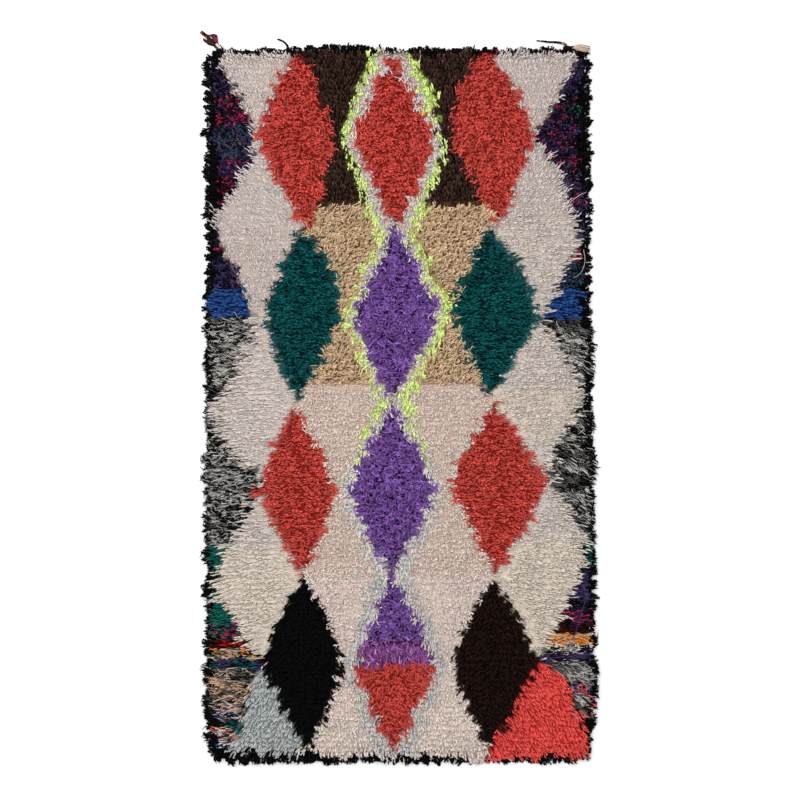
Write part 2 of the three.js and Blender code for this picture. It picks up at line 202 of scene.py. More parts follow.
LOZENGES = [
    lozenge((-0.250, 0.915), (-0.170, 0.661), (-0.237, 0.450), (-0.357, 0.689), (1.5, 1.4, 1.2, 1.2),
            "coral", "tangled"),
    lozenge((-0.242, 0.453), (-0.157, 0.244), (-0.260, 0.010), (-0.337, 0.231), (1.4, 2.3, 1.3, 1.45),
            "teal", "side_fan"),
    lozenge((-0.268, -0.005), (-0.163, -0.222), (-0.244, -0.444), (-0.357, -0.225), (1.2, 1.3, 1.0, 1.1),
            "coral", "side_fan"),
    lozenge((-0.241, -0.433), (-0.145, -0.670), (-0.233, -0.886), (-0.346, -0.668), (1.45, 1.65, 1.0, 1.25),
            "black", "down_fan"),
    lozenge((-0.019, 0.899), (0.086, 0.692), (-0.006, 0.450), (-0.114, 0.694), (1.05, 1.05, 1.15, 1.35),
            "coral", "tangled"),
    lozenge((-0.012, 0.459), (0.099, 0.239), (-0.017, 0.013), (-0.111, 0.231), (1.1, 1.15, 1.1, 1.1),
            "purple", "wavy"),
    lozenge((-0.017, 0.011), (0.086, -0.207), (-0.022, -0.434), (-0.127, -0.212), (1.1, 1.15, 1.05, 1.15),
            "purple", "wavy"),
    lozenge((-0.019, -0.420), (0.093, -0.662), (-0.017, -0.882), (-0.109, -0.665), (1.0, 1.05, 1.2, 1.2),
            "purple mauve coral", "wavy hanging tangled", -0.600, -0.657),
    lozenge((0.219, 0.930), (0.342, 0.674), (0.250, 0.455), (0.134, 0.692), (1.45, 1.5, 1.0, 1.1),
            "coral", "tangled"),
    lozenge((0.234, 0.460), (0.350, 0.236), (0.232, 0.015), (0.140, 0.244), (1.3, 1.45, 1.2, 1.2),
            "teal", "side_fan"),
    lozenge((0.245, 0.008), (0.375, -0.209), (0.245, -0.437), (0.127, -0.196), (1.0, 1.25, 0.95, 1.05),
            "coral", "side_fan"),
    lozenge((0.238, -0.440), (0.349, -0.652), (0.227, -0.877), (0.140, -0.662), (1.3, 1.5, 1.3, 1.3),
            "umber", "down_fan"),
]
TIP_STRETCH = 1.6  # a band reaches this much further past a lozenge's tips than past its sides

# Bands round the middle lozenges, from the inside out: which lozenge, the yarns, from a height down to one on
# the left and on the right, the outer margin of the band, and how much wider it is at heights on both sides
STEADY = [(0.0, 0.0)]
Band = namedtuple("Band", "lozenge yarns top left_end right_end margin left_widths right_widths",
                  defaults=(STEADY, STEADY))
LIME_LEFT = [
    (-0.155, 0.001), (-0.06, 0.010), (0.035, 0.016), (0.07, 0.006), (0.21, 0.022), (0.28, 0.008),
    (0.48, 0.012), (0.54, 0.011), (0.60, 0.015), (0.70, 0.012), (0.76, 0.011), (0.81, 0.018), (0.86, 0.012),
]
LIME_RIGHT = [
    (-0.155, 0.003), (-0.06, 0.010), (0.035, 0.023), (0.09, 0.011), (0.15, 0.014), (0.21, 0.023),
    (0.28, 0.026), (0.33, 0.008), (0.39, 0.012), (0.50, 0.020), (0.54, 0.012), (0.60, 0.026), (0.69, 0.004),
    (0.78, 0.023), (0.83, 0.024), (0.86, 0.009), (0.90, 0.014),
]
BANDS = [
    Band(4, "white", 1.0, 0.43, 0.43, 0.019),
    Band(4, "lime", 1.0, 0.43, 0.43, 0.018, LIME_LEFT, LIME_RIGHT),
    Band(5, "white", 0.47, 0.00, 0.00, 0.012),
    Band(5, "lime", 0.49, 0.012, 0.012, 0.012, LIME_LEFT, LIME_RIGHT),
    Band(6, "white", 0.03, -0.12, -0.12, 0.010),
    Band(6, "lime", 0.012, -0.14, -0.16, 0.010, LIME_LEFT, LIME_RIGHT),
    Band(6, "blush mist", -0.12, -0.46, -0.46, 0.008),
    Band(6, "mist mist blush", -0.12, -0.46, -0.46, 0.023),
    Band(7, "white", -0.42, -0.90, -0.90, 0.009),
    Band(7, "mist blue_grey mist white", -0.42, -0.90, -0.90, 0.026),
]
BAND_UNEVEN = 0.22

# Plain fields, from the top down to a height: the ground between the columns and the fields on both sides
Field = namedtuple("Field", "yarns down_to lay")
GROUND = [
    Field("brown", 0.510, "up"),
    Field("tan", 0.049, "slanting"),
    Field("pink", -0.430, "curly"),
    Field("blush", -0.730, "curly"),
    Field("blush blush blush ivory", -1.0, "down"),
]
LEFT_FIELD = [
    Field("white", 0.700, "raised_left"),
    Field("white", 0.440, "swept_left"),
    Field("white", 0.230, "tufted_left"),
    Field("fleece", -0.366, "combed_left"),
    Field("ivory", -0.675, "combed_rising"),
    Field("blue_grey", -1.0, "falling_left"),
]
RIGHT_FIELD = [
    Field("white", 0.700, "raised_right"),
    Field("white", 0.470, "swept_right"),
    Field("fleece", 0.045, "combed_right"),
    Field("cream", -0.088, "combed_right"),
    Field("fleece", -0.345, "combed_falling"),
    Field("ivory", -0.660, "combed_falling"),
    Field("rose", -1.0, "falling_right"),
]


def laid(lay, *rows):
    """Fields that lie the same way, from their yarns and the heights they go down to."""
    return [Field(yarns, down_to, lay) for yarns, down_to in rows]


# Stripes of leftover yarn along both sides, from the top down to a height
LEFT_STRIPES = [
    *laid("fuzzy_left", ("black black black navy", 0.858), ("black violet black navy", 0.795),
          ("magenta navy black pine magenta black", 0.763), ("navy black navy magenta black", 0.739),
          ("magenta navy magenta black", 0.710), ("navy violet pine black navy", 0.684),
          ("navy violet slate navy pine black violet", 0.623), ("navy magenta navy violet black navy", 0.582),
          ("black navy black magenta black", 0.500), ("black violet navy", 0.410),
          ("magenta navy black navy", 0.367), ("navy black violet", 0.300)),
    *laid("rowed_left", ("cobalt", 0.223)),
    *laid("hairy_left", ("ash black slate black", 0.193), ("ash slate black ash black", 0.100),
          ("ash black ash slate black", -0.015), ("black ash black slate", -0.089),
          ("black black ash", -0.127), ("ash black slate black ash black", -0.255),
          ("black black black ash", -0.294), ("black ash black black slate", -0.352)),
    *laid("level_left", ("teal pine", -0.396), ("black pine", -0.486), ("pine teal", -0.519),
          ("pine", -0.557), ("navy pine magenta black pine", -0.599), ("red maroon maroon", -0.613),
          ("maroon maroon red", -0.626), ("fawn pine fawn orange black", -0.647),
          ("violet navy teal black", -0.677)),
    *laid("hairy_left", ("slate fawn black slate black", -0.706),
          ("salmon fawn slate salmon black slate", -0.754), ("fawn black violet fawn slate black", -0.784)),
    *laid("level_left", ("navy fawn cobalt black", -0.808), ("pine black teal", -0.826),
          ("rose cream navy fawn pine", -0.862), ("cobalt cream black navy", -1.0)),
]
RIGHT_STRIPES = [
    *laid("fuzzy_right", ("black navy violet", 0.794), ("navy magenta black navy black", 0.761),
          ("navy black pine black", 0.746), ("magenta navy black navy violet black", 0.700),
          ("violet navy magenta black navy black navy", 0.637), ("magenta navy black navy", 0.612),
          ("navy black navy magenta pine violet black", 0.572),
          ("navy violet black navy violet magenta", 0.513), ("violet navy black", 0.403),
          ("magenta magenta black", 0.366), ("navy pine violet black", 0.298)),
    *laid("rowed_right", ("cobalt", 0.217)),
    *laid("hairy_right", ("black slate", 0.195), ("ash slate ash black", 0.103), ("slate black ash", -0.051),
          ("ash slate black black", -0.115), ("black slate black", -0.140), ("ash black slate", -0.166),
          ("black slate black", -0.204), ("ash black ash slate", -0.243), ("black slate black", -0.258),
          ("ash black slate black", -0.325)),
    *laid("level_right", ("pine black teal", -0.401), ("black navy", -0.427), ("violet navy", -0.491),
          ("navy black", -0.519), ("navy magenta black", -0.563), ("maroon black", -0.583),
          ("orange fawn orange", -0.606), ("ivory black", -0.621), ("navy ash black", -0.637),
          ("violet navy", -0.655)),
    *laid("hairy_right", ("slate ash black ash", -0.703), ("slate rose black cobalt ash rose", -0.744),
          ("slate ash black rose", -0.793)),
    *laid("level_right", ("black rose", -1.0)),
]

# Where the stripes meet the fields and where the fields meet the ground: the points (y, x) of each line, from
# the bottom up
LEFT_ZIGZAG = [
    (-0.895, -0.458), (-0.857, -0.418), (-0.800, -0.395), (-0.690, -0.368), (-0.662, -0.345),
    (-0.601, -0.382), (-0.460, -0.465), (-0.401, -0.450), (-0.281, -0.380), (-0.180, -0.354),
    (-0.090, -0.440), (-0.012, -0.457), (0.003, -0.477), (0.019, -0.442), (0.203, -0.357), (0.300, -0.396),
    (0.469, -0.477), (0.513, -0.436), (0.628, -0.365), (0.730, -0.375), (0.889, -0.462),
]
RIGHT_ZIGZAG = [
    (-0.831, 0.480), (-0.765, 0.440), (-0.715, 0.422), (-0.672, 0.410), (-0.655, 0.355), (-0.601, 0.375),
    (-0.435, 0.465), (-0.345, 0.467), (-0.179, 0.380), (-0.115, 0.393), (0.039, 0.475), (0.213, 0.362),
    (0.295, 0.401), (0.436, 0.467), (0.602, 0.403), (0.684, 0.347), (0.889, 0.460),
]
LEFT_AXIS = [(-0.883, -0.242), (-0.438, -0.248), (0.010, -0.262), (0.452, -0.239), (0.902, -0.250)]
RIGHT_AXIS = [(-0.870, 0.227), (-0.436, 0.240), (0.013, 0.238), (0.455, 0.242), (0.907, 0.219)]

# What lies on the left (-1) or right (1) of each line, the later over the earlier
SIDES = [
    (LEFT_AXIS, -1, LEFT_FIELD), (RIGHT_AXIS, 1, RIGHT_FIELD),
    (LEFT_ZIGZAG, -1, LEFT_STRIPES), (RIGHT_ZIGZAG, 1, RIGHT_STRIPES),
]

# The dark border: places along each edge and its width there
LEFT_BORDER = [
    (-0.90, 0.026), (-0.60, 0.018), (-0.40, 0.020), (-0.33, 0.010), (-0.05, 0.004), (0.05, 0.018),
    (0.20, 0.020), (0.26, 0.010), (0.34, 0.026), (0.60, 0.032), (0.80, 0.030), (0.89, 0.022),
]
RIGHT_BORDER = [
    (-0.90, 0.019), (-0.60, 0.015), (-0.45, 0.016), (-0.34, 0.012), (-0.10, 0.020), (0.05, 0.022),
    (0.25, 0.024), (0.45, 0.020), (0.60, 0.030), (0.80, 0.030), (0.89, 0.024),
]
BOTTOM_BORDER = [
    (-0.48, 0.032), (-0.23, 0.026), (-0.20, 0.016), (-0.14, 0.014), (-0.10, 0.022), (0.05, 0.022),
    (0.17, 0.020), (0.19, 0.000), (0.24, 0.000), (0.27, 0.017), (0.48, 0.017),
]
TOP_BORDER = [(-0.48, 0.014), (0.0, 0.015), (0.48, 0.014)]
BORDER_UNEVEN = 0.65
BORDER_PITCH = (0.016, 0.016)

# The pieces that the pile is made in: the yarns of each, and which of a strand's four points it keeps
LONG, SHORT = [0, 1, 2, 3], [0, 2, 3]
PILE_PIECES = {
    "pile_white_left": ("white fleece", SHORT),
    "pile_white_right": ("white fleece", SHORT),
    "pile_ivory": ("ivory cream", SHORT),
    "pile_pink": ("pink blush", SHORT),
    "pile_tan": ("tan", LONG),
    "pile_coral": ("coral rose", SHORT),
    "pile_teal": ("teal pine", SHORT),
    "pile_purple": ("purple mauve violet", LONG),
    "pile_brown": ("brown umber", SHORT),
    "pile_black": ("black navy", SHORT),
    "pile_grey": ("ash slate fawn salmon", LONG),
    "pile_accents": ("lime mist blue_grey magenta cobalt red maroon orange olive", SHORT),
}


def column(rows, field, number):
    """One column of a table, for each of the given row numbers."""
    return np.array([getattr(row, field) for row in rows], float)[number]


def interpolated(points, at):
    """Values at places along a line, from the points (place, value) that it runs through."""
    return np.interp(at, *zip(*points))


def linear(rgb):
    """A colour in sRGB from 0 to 255, as linear light from 0 to 1."""
    share = np.asarray(rgb, float) / 255
    return np.where(share <= 0.04045, share / 12.92, ((share + 0.055) / 1.055) ** 2.4)


def smoothstep(low, high, value):
    t = np.clip((value - low) / (high - low), 0, 1)
    return t * t * (3 - 2 * t)


def blended(grid, i, j, s, t):
    """Values of a grid that repeats: from place (i, j), shares s and t of the way to the next ones."""
    wide, tall = grid.shape

    def corner(a, b):
        return grid[(i + a) % wide, (j + b) % tall]

    low = corner(0, 0) * (1 - s) + corner(1, 0) * s
    high = corner(0, 1) * (1 - s) + corner(1, 1) * s
    return low * (1 - t) + high * t


NOISE = rng.uniform(-1, 1, (10, 256, 256))
TURNS, STREAKS, SHIFTS, EDGES, WARP_X, WARP_Y, RAGGED, TONES, HEADINGS, RIDGES = range(10)


def smooth_noise(x, y, pitch, layer):
    """Repeatable noise from -1 to 1 that changes over about one pitch, given across and along."""
    u, v = x / pitch[0], y / pitch[1]
    i, j = np.floor(u).astype(int), np.floor(v).astype(int)
    return blended(NOISE[layer], i, j, smoothstep(0, 1, u - i), smoothstep(0, 1, v - j))


Knots = namedtuple("Knots", "column row x y")


def knots_at(x, y):
    """The knot of each place: its column and row, and its middle. Every other row is offset."""
    off_x = KNOT_STRAY * smooth_noise(x, y, WANDER_PITCH, WARP_X)
    off_y = KNOT_STRAY * smooth_noise(x, y, WANDER_PITCH, WARP_Y)
    row = np.floor((y + off_y) / KNOT[1]).astype(int)
    offset = 0.5 * (row % 2)
    place = np.floor((x + off_x) / KNOT[0] + offset).astype(int)
    return Knots(place, row, (place + 0.5 - offset) * KNOT[0] - off_x, (row + 0.5) * KNOT[1] - off_y)


def knot_noise(knots, layer):
    """A value from -1 to 1 that all strands of a knot share."""
    return NOISE[layer, knots.column % NOISE.shape[1], knots.row % NOISE.shape[2]]


class Slab:
    """The rug's solid, read by casting rays at it: where its edges run and how high its pile stands."""

    EDGE_STEP, GRID_STEP = 0.005, 0.008
    RIM_LEVEL = 0.0068  # above the locks and below the rim
    FAR, ABOVE = 1.5, 1.0  # where rays start
    LAST = 1.001  # taken off the number of places, so that every place has a next one

    def __init__(self, node):
        mesh = node.data
        self.tree = BVHTree.FromPolygons([v.co for v in mesh.vertices], [p.vertices for p in mesh.polygons])
        self.xs, self.ys = (np.arange(RUG_LOW[k], RUG_HIGH[k], self.EDGE_STEP) for k in range(2))
        far, level = self.FAR, self.RIM_LEVEL
        self.left = np.array([self.cast((-far, y, level), (1, 0, 0), 0) for y in self.ys])
        self.right = np.array([self.cast((far, y, level), (-1, 0, 0), 0) for y in self.ys])
        self.bottom = np.array([self.cast((x, -far, level), (0, 1, 0), 1) for x in self.xs])
        self.top = np.array([self.cast((x, far, level), (0, -1, 0), 1) for x in self.xs])
        self.grid = [np.arange(RUG_LOW[k], RUG_HIGH[k] + self.GRID_STEP, self.GRID_STEP) for k in range(2)]
        down = (0, 0, -1)
        heights = [[self.cast((x, y, self.ABOVE), down, 2) for y in self.grid[1]] for x in self.grid[0]]
        self.heights = np.nan_to_num(np.array(heights))

    def cast(self, start, way, axis):
        """The place along one axis where a ray first meets the solid, or not a number."""
        hit = self.tree.ray_cast(start, way)[0]
        return hit[axis] if hit else np.nan

    def edge_distances(self, x, y):
        """Distances inwards from the left, right, bottom and top edges, below zero outside."""
        def line(at, places, values):
            return np.interp(at, places, np.nan_to_num(values, nan=0.0))

        return np.stack([
            x - line(y, self.ys, self.left),
            line(y, self.ys, self.right) - x,
            y - line(x, self.xs, self.bottom),
            line(x, self.xs, self.top) - y,
        ])

    def height(self, x, y):
        """How high the pile stands at places on the rug."""
        u, v = (np.clip((at - places[0]) / self.GRID_STEP, 0, len(places) - self.LAST)
                for at, places in zip((x, y), self.grid))
        i, j = u.astype(int), v.astype(int)
        return blended(self.heights, i, j, u - i, v - j)


Zone = namedtuple("Zone", "yarns lay axis width")


class Pattern:
    """Which zone of the rug a place is in. Lays that fan out do so from a zone's axis, over its width."""

    def __init__(self):
        self.zones = []
        self.ground = self.add_fields(GROUND)
        self.sides = [self.add_fields(fields) for _, _, fields in SIDES]
        self.bands = [self.add(b.yarns, "strung") for b in BANDS]
        self.lozenges = [[self.add(yarn, lay, (z.top.x + z.bottom.x) / 2, z.right.x - z.left.x)
                          for yarn, lay in zip(z.yarns, z.lays)] for z in LOZENGES]
        self.border = self.add("black", "outward")

    def add(self, yarns, lay, axis=0.0, width=1.0):
        self.zones.append(Zone(yarns.split(), LAYS[lay], axis, width))
        return len(self.zones) - 1

    def add_fields(self, fields):
        return [self.add(f.yarns, f.lay) for f in fields]

    def of_lays(self, field, zone):
        """One column of the lay table, for each place."""
        return column([z.lay for z in self.zones], field, zone)

    @staticmethod
    def stacked(y, fields, zones):
        """The zone of each height, in fields that are stacked from the top down."""
        limits = np.array([-f.down_to for f in fields])
        return np.array(zones)[np.searchsorted(limits, -y).clip(0, len(zones) - 1)]

    @staticmethod
    def side(z, on_right, y, stretch):
        """Where one side of a lozenge runs at each height, and whether that is between its tips."""
        corner = z.right if on_right else z.left
        above = y > corner.y
        tall = np.where(above, z.top.y - corner.y, corner.y - z.bottom.y) + stretch
        share = np.abs(y - corner.y) / tall
        tip = np.where(above, z.top.x, z.bottom.x)
        full = np.where(above, z.full[on_right], z.full[on_right + 2])
        return corner.x + (tip - corner.x) * np.clip(share, 0, 1) ** full, share < 1

    def inside(self, z, x, y, margin=0.0):
        """Whether places lie in a lozenge that is widened all round by a margin."""
        left, left_there = self.side(z, 0, y, TIP_STRETCH * margin)
        right, right_there = self.side(z, 1, y, TIP_STRETCH * margin)
        return left_there & right_there & (x > left - margin) & (x < right + margin)

    def at(self, x, y, edges, uneven, ragged):
        """The zone numbers of places measured from the body's middle.

        `edges` are the distances from the rug's edges. `uneven` and `ragged`, from -1 to 1, make the border
        and the bands wider or narrower.
        """
        zone = self.stacked(y, GROUND, self.ground)
        for (line, way, fields), zones in zip(SIDES, self.sides):
            beyond = way * x > way * interpolated(line, y)
            zone[beyond] = self.stacked(y[beyond], fields, zones)
        for band, number in reversed(list(zip(BANDS, self.bands))):
            z = LOZENGES[band.lozenge]
            on_left = x < z.top.x
            end = np.where(on_left, band.left_end, band.right_end)
            wider = np.where(on_left, interpolated(band.left_widths, y), interpolated(band.right_widths, y))
            margin = (band.margin + wider) * (1 + BAND_UNEVEN * ragged)
            zone[(y < band.top) & (y > end) & self.inside(z, x, y, margin)] = number
        for z, numbers in zip(LOZENGES, self.lozenges):
            here = self.inside(z, x, y)
            zone[here] = np.array(numbers)[np.searchsorted([-c for c in z.changes], -y[here])]
        borders = ((LEFT_BORDER, y), (RIGHT_BORDER, y), (BOTTOM_BORDER, x), (TOP_BORDER, x))
        for distance, (widths, along) in zip(edges, borders):
            zone[distance < interpolated(widths, along) * (1 + BORDER_UNEVEN * uneven)] = self.border
        return zone


def heading_of(pattern, zone, x, y, knots):
    """The heading of each strand's tip, in radians: strands of a knot lie much the same way."""
    off_axis = x - column(pattern.zones, "axis", zone)
    width = column(pattern.zones, "width", zone)
    fan = pattern.of_lays("fan", zone)
    knot = knot_noise(knots, HEADINGS)
    place_share, knot_share, own_share = TURN_MIX
    turn = place_share * smooth_noise(x, y, TURN_PITCH, TURNS) + knot_share * knot
    turn = turn + rng.normal(0, own_share, len(x))
    opening, knot_share = FAN_MIX
    fanned = np.clip(opening * off_axis / width + knot_share * knot, -1, 1)
    opening, knot_share, own_share = PARTED_MIX
    parted = np.sign(opening * off_axis / width + knot_share * knot + rng.normal(0, own_share, len(x)))
    aside = fan * np.where(fan >= WIDE_FAN, parted, fanned)
    return np.radians(pattern.of_lays("heading", zone) + aside + pattern.of_lays("spread", zone) * turn)


def pick_yarns(pattern, zone, x, y, knots):
    """The yarn number of each strand: mixed yarns change in streaks, mostly from knot to knot."""
    yarn = np.zeros(len(x), int)
    place_share, knot_share, own_share = STREAK_MIX
    streak = place_share * smooth_noise(x, y, STREAK_PITCH, STREAKS) + knot_share * knot_noise(knots, RAGGED)
    streak += rng.normal(0, own_share, len(x))
    for number, mixed in enumerate(pattern.zones):
        here = np.flatnonzero(zone == number)
        order = streak[here].argsort().argsort()
        choice = np.array([YARN_NAMES.index(name) for name in mixed.yarns])
        yarn[here] = choice[order * len(choice) // max(len(here), 1)]
    return yarn


def rim_swell(edge, along):
    """How far the pile stands out over an edge at places along it, and how that changes there."""
    def lumps(at):
        large = smooth_noise(at, edge.astype(float), (RIM_TUFT, 1.0), EDGES)
        return large + RIM_FINE * smooth_noise(at, edge.astype(float), (RIM_FINE * RIM_TUFT, 1.0), SHIFTS)

    step = RIM_SLOPE_STEP * RIM_TUFT
    swell = column(RUG_EDGES, "stands", edge) + column(RUG_EDGES, "varies", edge) * lumps(along)
    return swell, lumps(along + step) - lumps(along - step)


def strands_at(slab, pattern, x, y, length=1.0):
    """Strands rooted at places, as columns of their roots, leans, reaches, zones and yarns."""
    edges = slab.edge_distances(x, y)
    nearest, distance = edges.argmin(0), edges.min(0)
    swell, slope = rim_swell(nearest, np.where(nearest < 2, y, x))
    swell -= CORNER_DROP * (1 - smoothstep(0.0, CORNER_RUN, np.sort(edges, 0)[1]))
    kept = distance > EDGE_CLEAR + np.maximum(-swell, 0)
    x, y, edges = x[kept], y[kept], edges[:, kept]
    nearest, distance, swell, slope = (a[kept] for a in (nearest, distance, swell, slope))
    out, along, leans = (column(RUG_EDGES, field, nearest) for field in ("out", "along", "leans"))
    outward = out + (leans + RIM_LEAN * slope + rng.normal(0, RIM_SCATTER, len(x)))[:, None] * along

    # A strand has the yarn of the knot that it shows over, part of the way from its root to its tip
    px, py = x - MIDDLE[0], y - MIDDLE[1]
    still = np.zeros(len(x))
    uneven = smooth_noise(px, py, BORDER_PITCH, EDGES)
    first = pattern.at(px, py, edges, uneven, still)
    heading = heading_of(pattern, first, px, py, knots_at(px, py))
    heading = np.where(first == pattern.border, np.arctan2(outward[:, 1], outward[:, 0]), heading)
    way = np.stack([np.cos(heading), np.sin(heading)], 1)
    reach = length * pattern.of_lays("reach", first) * np.exp(rng.normal(0, REACH_VARIES, len(x)))
    sx, sy = px + SHOWN_SHARE * reach * way[:, 0], py + SHOWN_SHARE * reach * way[:, 1]
    knots = knots_at(sx, sy)
    shift = ROW_SHIFT * smooth_noise(knots.x, knots.row * KNOT[1], (ROW_SHIFT_PITCH, KNOT[1]), SHIFTS)
    shown_edges = slab.edge_distances(sx + MIDDLE[0], sy + MIDDLE[1])
    zone = pattern.at(knots.x + shift, knots.y, shown_edges, uneven, knot_noise(knots, RAGGED))
    yarn = pick_yarns(pattern, zone, sx, sy, knots)
    pull = np.stack([knots.x - sx, knots.y - sy], 1)

    # Some strands near another zone lie on top and reach over it
    fx, fy = px + STRAY_LENGTH * reach * way[:, 0], py + STRAY_LENGTH * reach * way[:, 1]
    beyond = pattern.at(fx, fy, edges, uneven, still) != zone
    long_enough = pattern.of_lays("reach", zone) > STRAY_LEAST
    stray = beyond & long_enough & (distance > RIM_WIDTH) & (rng.random(len(x)) < STRAY_SHARE)
    reach = reach * np.where(stray, STRAY_LENGTH, 1.0)

    # Strands near the edge turn outwards and end where the rim swells to
    turned = 1 - smoothstep(RIM_OUTER, RIM_WIDTH, distance)
    lean = way * (1 - turned)[:, None] + outward * turned[:, None]
    agreed = np.linalg.norm(lean, axis=1)
    lean /= agreed[:, None]
    rim_reach = np.maximum((distance + swell) * rng.uniform(*RIM_REACH, len(x)), SHORTEST)
    reach = (reach * (1 - turned) + rim_reach * turned) * np.clip(agreed, PARTING, 1)
    outwards = np.maximum((lean * out).sum(1), LEAST_OUT)
    reach = np.clip(reach, SHORTEST, np.maximum((distance + swell + OVERHANG) / outwards, SHORTEST))

    wander = RIDGE_WANDER * smooth_noise(px, py, RIDGE_WANDER_PITCH, RIDGES)
    dip = 0.5 - 0.5 * np.cos(2 * math.pi * (sy + wander) / RIDGE_PITCH)
    return dict(x=x, y=y, lean=lean, reach=reach, zone=zone, yarn=yarn, turned=turned, stray=stray,
                pull=pull * (1 - turned)[:, None], dip=dip * pattern.of_lays("ridge", zone) * (1 - turned),
                tone=knot_noise(knots, TONES))


def bare_places(pile):
    """Places on the rug that no strand lies over."""
    low = (RUG_LOW.x, RUG_LOW.y)
    size = np.ceil(np.array([RUG_HIGH.x - low[0], RUG_HIGH.y - low[1]]) / BARE_CELL).astype(int)
    covered = np.zeros(size + 1, bool)
    for share in COVERED:
        i, j = ((pile[key] + share * pile["reach"] * pile["lean"][:, k] - low[k]) / BARE_CELL
                for k, key in enumerate("xy"))
        covered[i.astype(int).clip(0, size[0]), j.astype(int).clip(0, size[1])] = True
    i, j = np.nonzero(~covered)
    return low[0] + (i + 0.5) * BARE_CELL, low[1] + (j + 0.5) * BARE_CELL


def knotted_pile(slab, pattern):
    """Every strand of the pile: as many as their yarn has room for, and short ones where it would be bare."""
    columns, rows = (np.arange(RUG_LOW[k], RUG_HIGH[k], STRAND_PITCH[k]) for k in range(2))
    x, y = (a.ravel() for a in np.meshgrid(columns, rows))
    x = x + rng.uniform(-0.5, 0.5, len(x)) * STRAND_PITCH[0]
    y = y + rng.uniform(-0.5, 0.5, len(y)) * STRAND_PITCH[1]
    pile = strands_at(slab, pattern, x, y)
    place_room = STRAND_PITCH[0] * STRAND_PITCH[1] * SQUARE_MM
    room = column(YARNS.values(), "room", pile["yarn"]) * (1 - (1 - RIM_ROOM) * pile["turned"])
    kept = rng.random(len(room)) < place_room / room
    pile = {key: values[kept] for key, values in pile.items()}
    filling = strands_at(slab, pattern, *bare_places(pile), length=FILLING_LENGTH)
    for k, key in enumerate("xy"):
        filling[key] -= 0.5 * filling["reach"] * filling["lean"][:, k]
    return {key: np.concatenate([pile[key], filling[key]]) for key in pile}


Strands = namedtuple("Strands", "paths widths across colours")

# A strand runs from its root over a knee and a back to its tip: how far out each point is as a share of the
# reach, and how wide as a share of the yarn's thickness
POINT_OUTS = (0.0, 0.30, 0.84, 1.0)
POINT_WIDTHS = (0.8, 1.0, 0.94, 0.0)
ROOT_HEIGHT, LOWEST = 0.003, 0.0015  # where roots start, and below which no point comes
KNEE_HEIGHT = 0.68  # as a share of the back's
LAYER = (0.72, 1.06)  # how high the back lies, as a share of the pile's height
STRAY_LAYER, STRAY_CURL = 1.04, 0.5  # strands that reach over another zone lie on top, and straighter
LOWEST_PILE = 0.009  # the least height of the pile, before it sinks at the rim
RIM_SINK, BACK_SINK, TIP_SINK = 0.35, 0.2, 0.45  # how much lower pile, backs and tips lie at the rim
CLUMP = 0.38  # how far the tips of one knot draw together
TIP_VARIES, THICK_VARIES = 0.06, 0.14


def shaped_strands(slab, pattern, pile):
    """Strands from their roots, lean and reach: up from the knot, over, and down or up to the tip."""
    x, y, lean, reach, turned = (pile[key] for key in ("x", "y", "lean", "reach", "turned"))
    count = len(x)
    side = np.stack([-lean[:, 1], lean[:, 0]], 1)
    height = slab.height(x + 0.5 * reach * lean[:, 0], y + 0.5 * reach * lean[:, 1])
    height = np.maximum(height, LOWEST_PILE) * (1 - RIM_SINK * turned)
    layer = rng.uniform(*LAYER, count) * (1 - RIDGE_DROP_AND_SHADE * pile["dip"])
    layer = np.where(pile["stray"], STRAY_LAYER, layer)
    curl = pattern.of_lays("curl", pile["zone"]) * np.where(pile["stray"], STRAY_CURL, 1.0)
    sway = rng.normal(0, 1, (count, 3)) * (curl * reach)[:, None]
    lift = pattern.of_lays("lift", pile["zone"])
    end = layer * lift * (1 - TIP_SINK * turned) + rng.normal(0, TIP_VARIES, count)
    ups = (np.zeros(count), KNEE_HEIGHT * layer, layer * (1 - BACK_SINK * turned), end)
    bends = (np.zeros(count), *sway.T)
    paths = np.zeros((count, len(POINT_OUTS), 3))
    for k, (out, up, bend) in enumerate(zip(POINT_OUTS, ups, bends)):
        paths[:, k, :2] = out * (reach[:, None] * lean + CLUMP * pile["pull"]) + bend[:, None] * side
        paths[:, k, 2] = np.maximum(ROOT_HEIGHT + up * (height - ROOT_HEIGHT), LOWEST)
    paths[:, :, :2] += np.stack([x, y], 1)[:, None]
    thick = column(YARNS.values(), "thick", pile["yarn"]) * np.exp(rng.normal(0, THICK_VARIES, count))
    across = np.concatenate([side, np.zeros((count, 1))], 1)[:, None, :]
    return Strands(paths, thick[:, None] * np.array(POINT_WIDTHS), across, strand_colours(pile))


TONE_SHARE = 0.8  # how much the tone that a knot's strands share counts against a strand's own
TINT_VARIES = 0.025
KNEE_TIP = 0.55  # how much of the tip's colour a strand has at its knee
DARKEST, LIGHTEST = 0.001, 0.95


def strand_colours(pile):
    """Linear colours at each point of the strands: painted shade towards the root and between ridges, and no
    two strands alike.
    """
    count = len(pile["yarn"])
    tip, root, differ = (column(YARNS.values(), field, pile["yarn"]) for field in ("tip", "root", "differ"))
    tip, root = linear(tip), linear(root)
    strength = np.exp((rng.normal(0, 1, count) + TONE_SHARE * pile["tone"]) * differ)
    # Painted shade: strands between the ridges of the rows of knots are darkened
    strength = strength * (1 - RIDGE_DROP_AND_SHADE * pile["dip"])
    tint = np.exp(rng.normal(0, TINT_VARIES, (count, 3)))
    # Painted shade: each strand darkens from its tip's colour through its knee to the root colour, deep in
    # the pile
    points = np.stack([root, (1 - KNEE_TIP) * root + KNEE_TIP * tip, tip, tip], 1)
    return np.clip(points * (strength[:, None] * tint)[:, None, :], DARKEST, LIGHTEST)


# On a strand's own square of the map, its end cap lies below its wall
WALL_START = 0.16
CAP_MIDDLE, CAP_HALF = (0.5, 0.06), (0.3, 0.05)


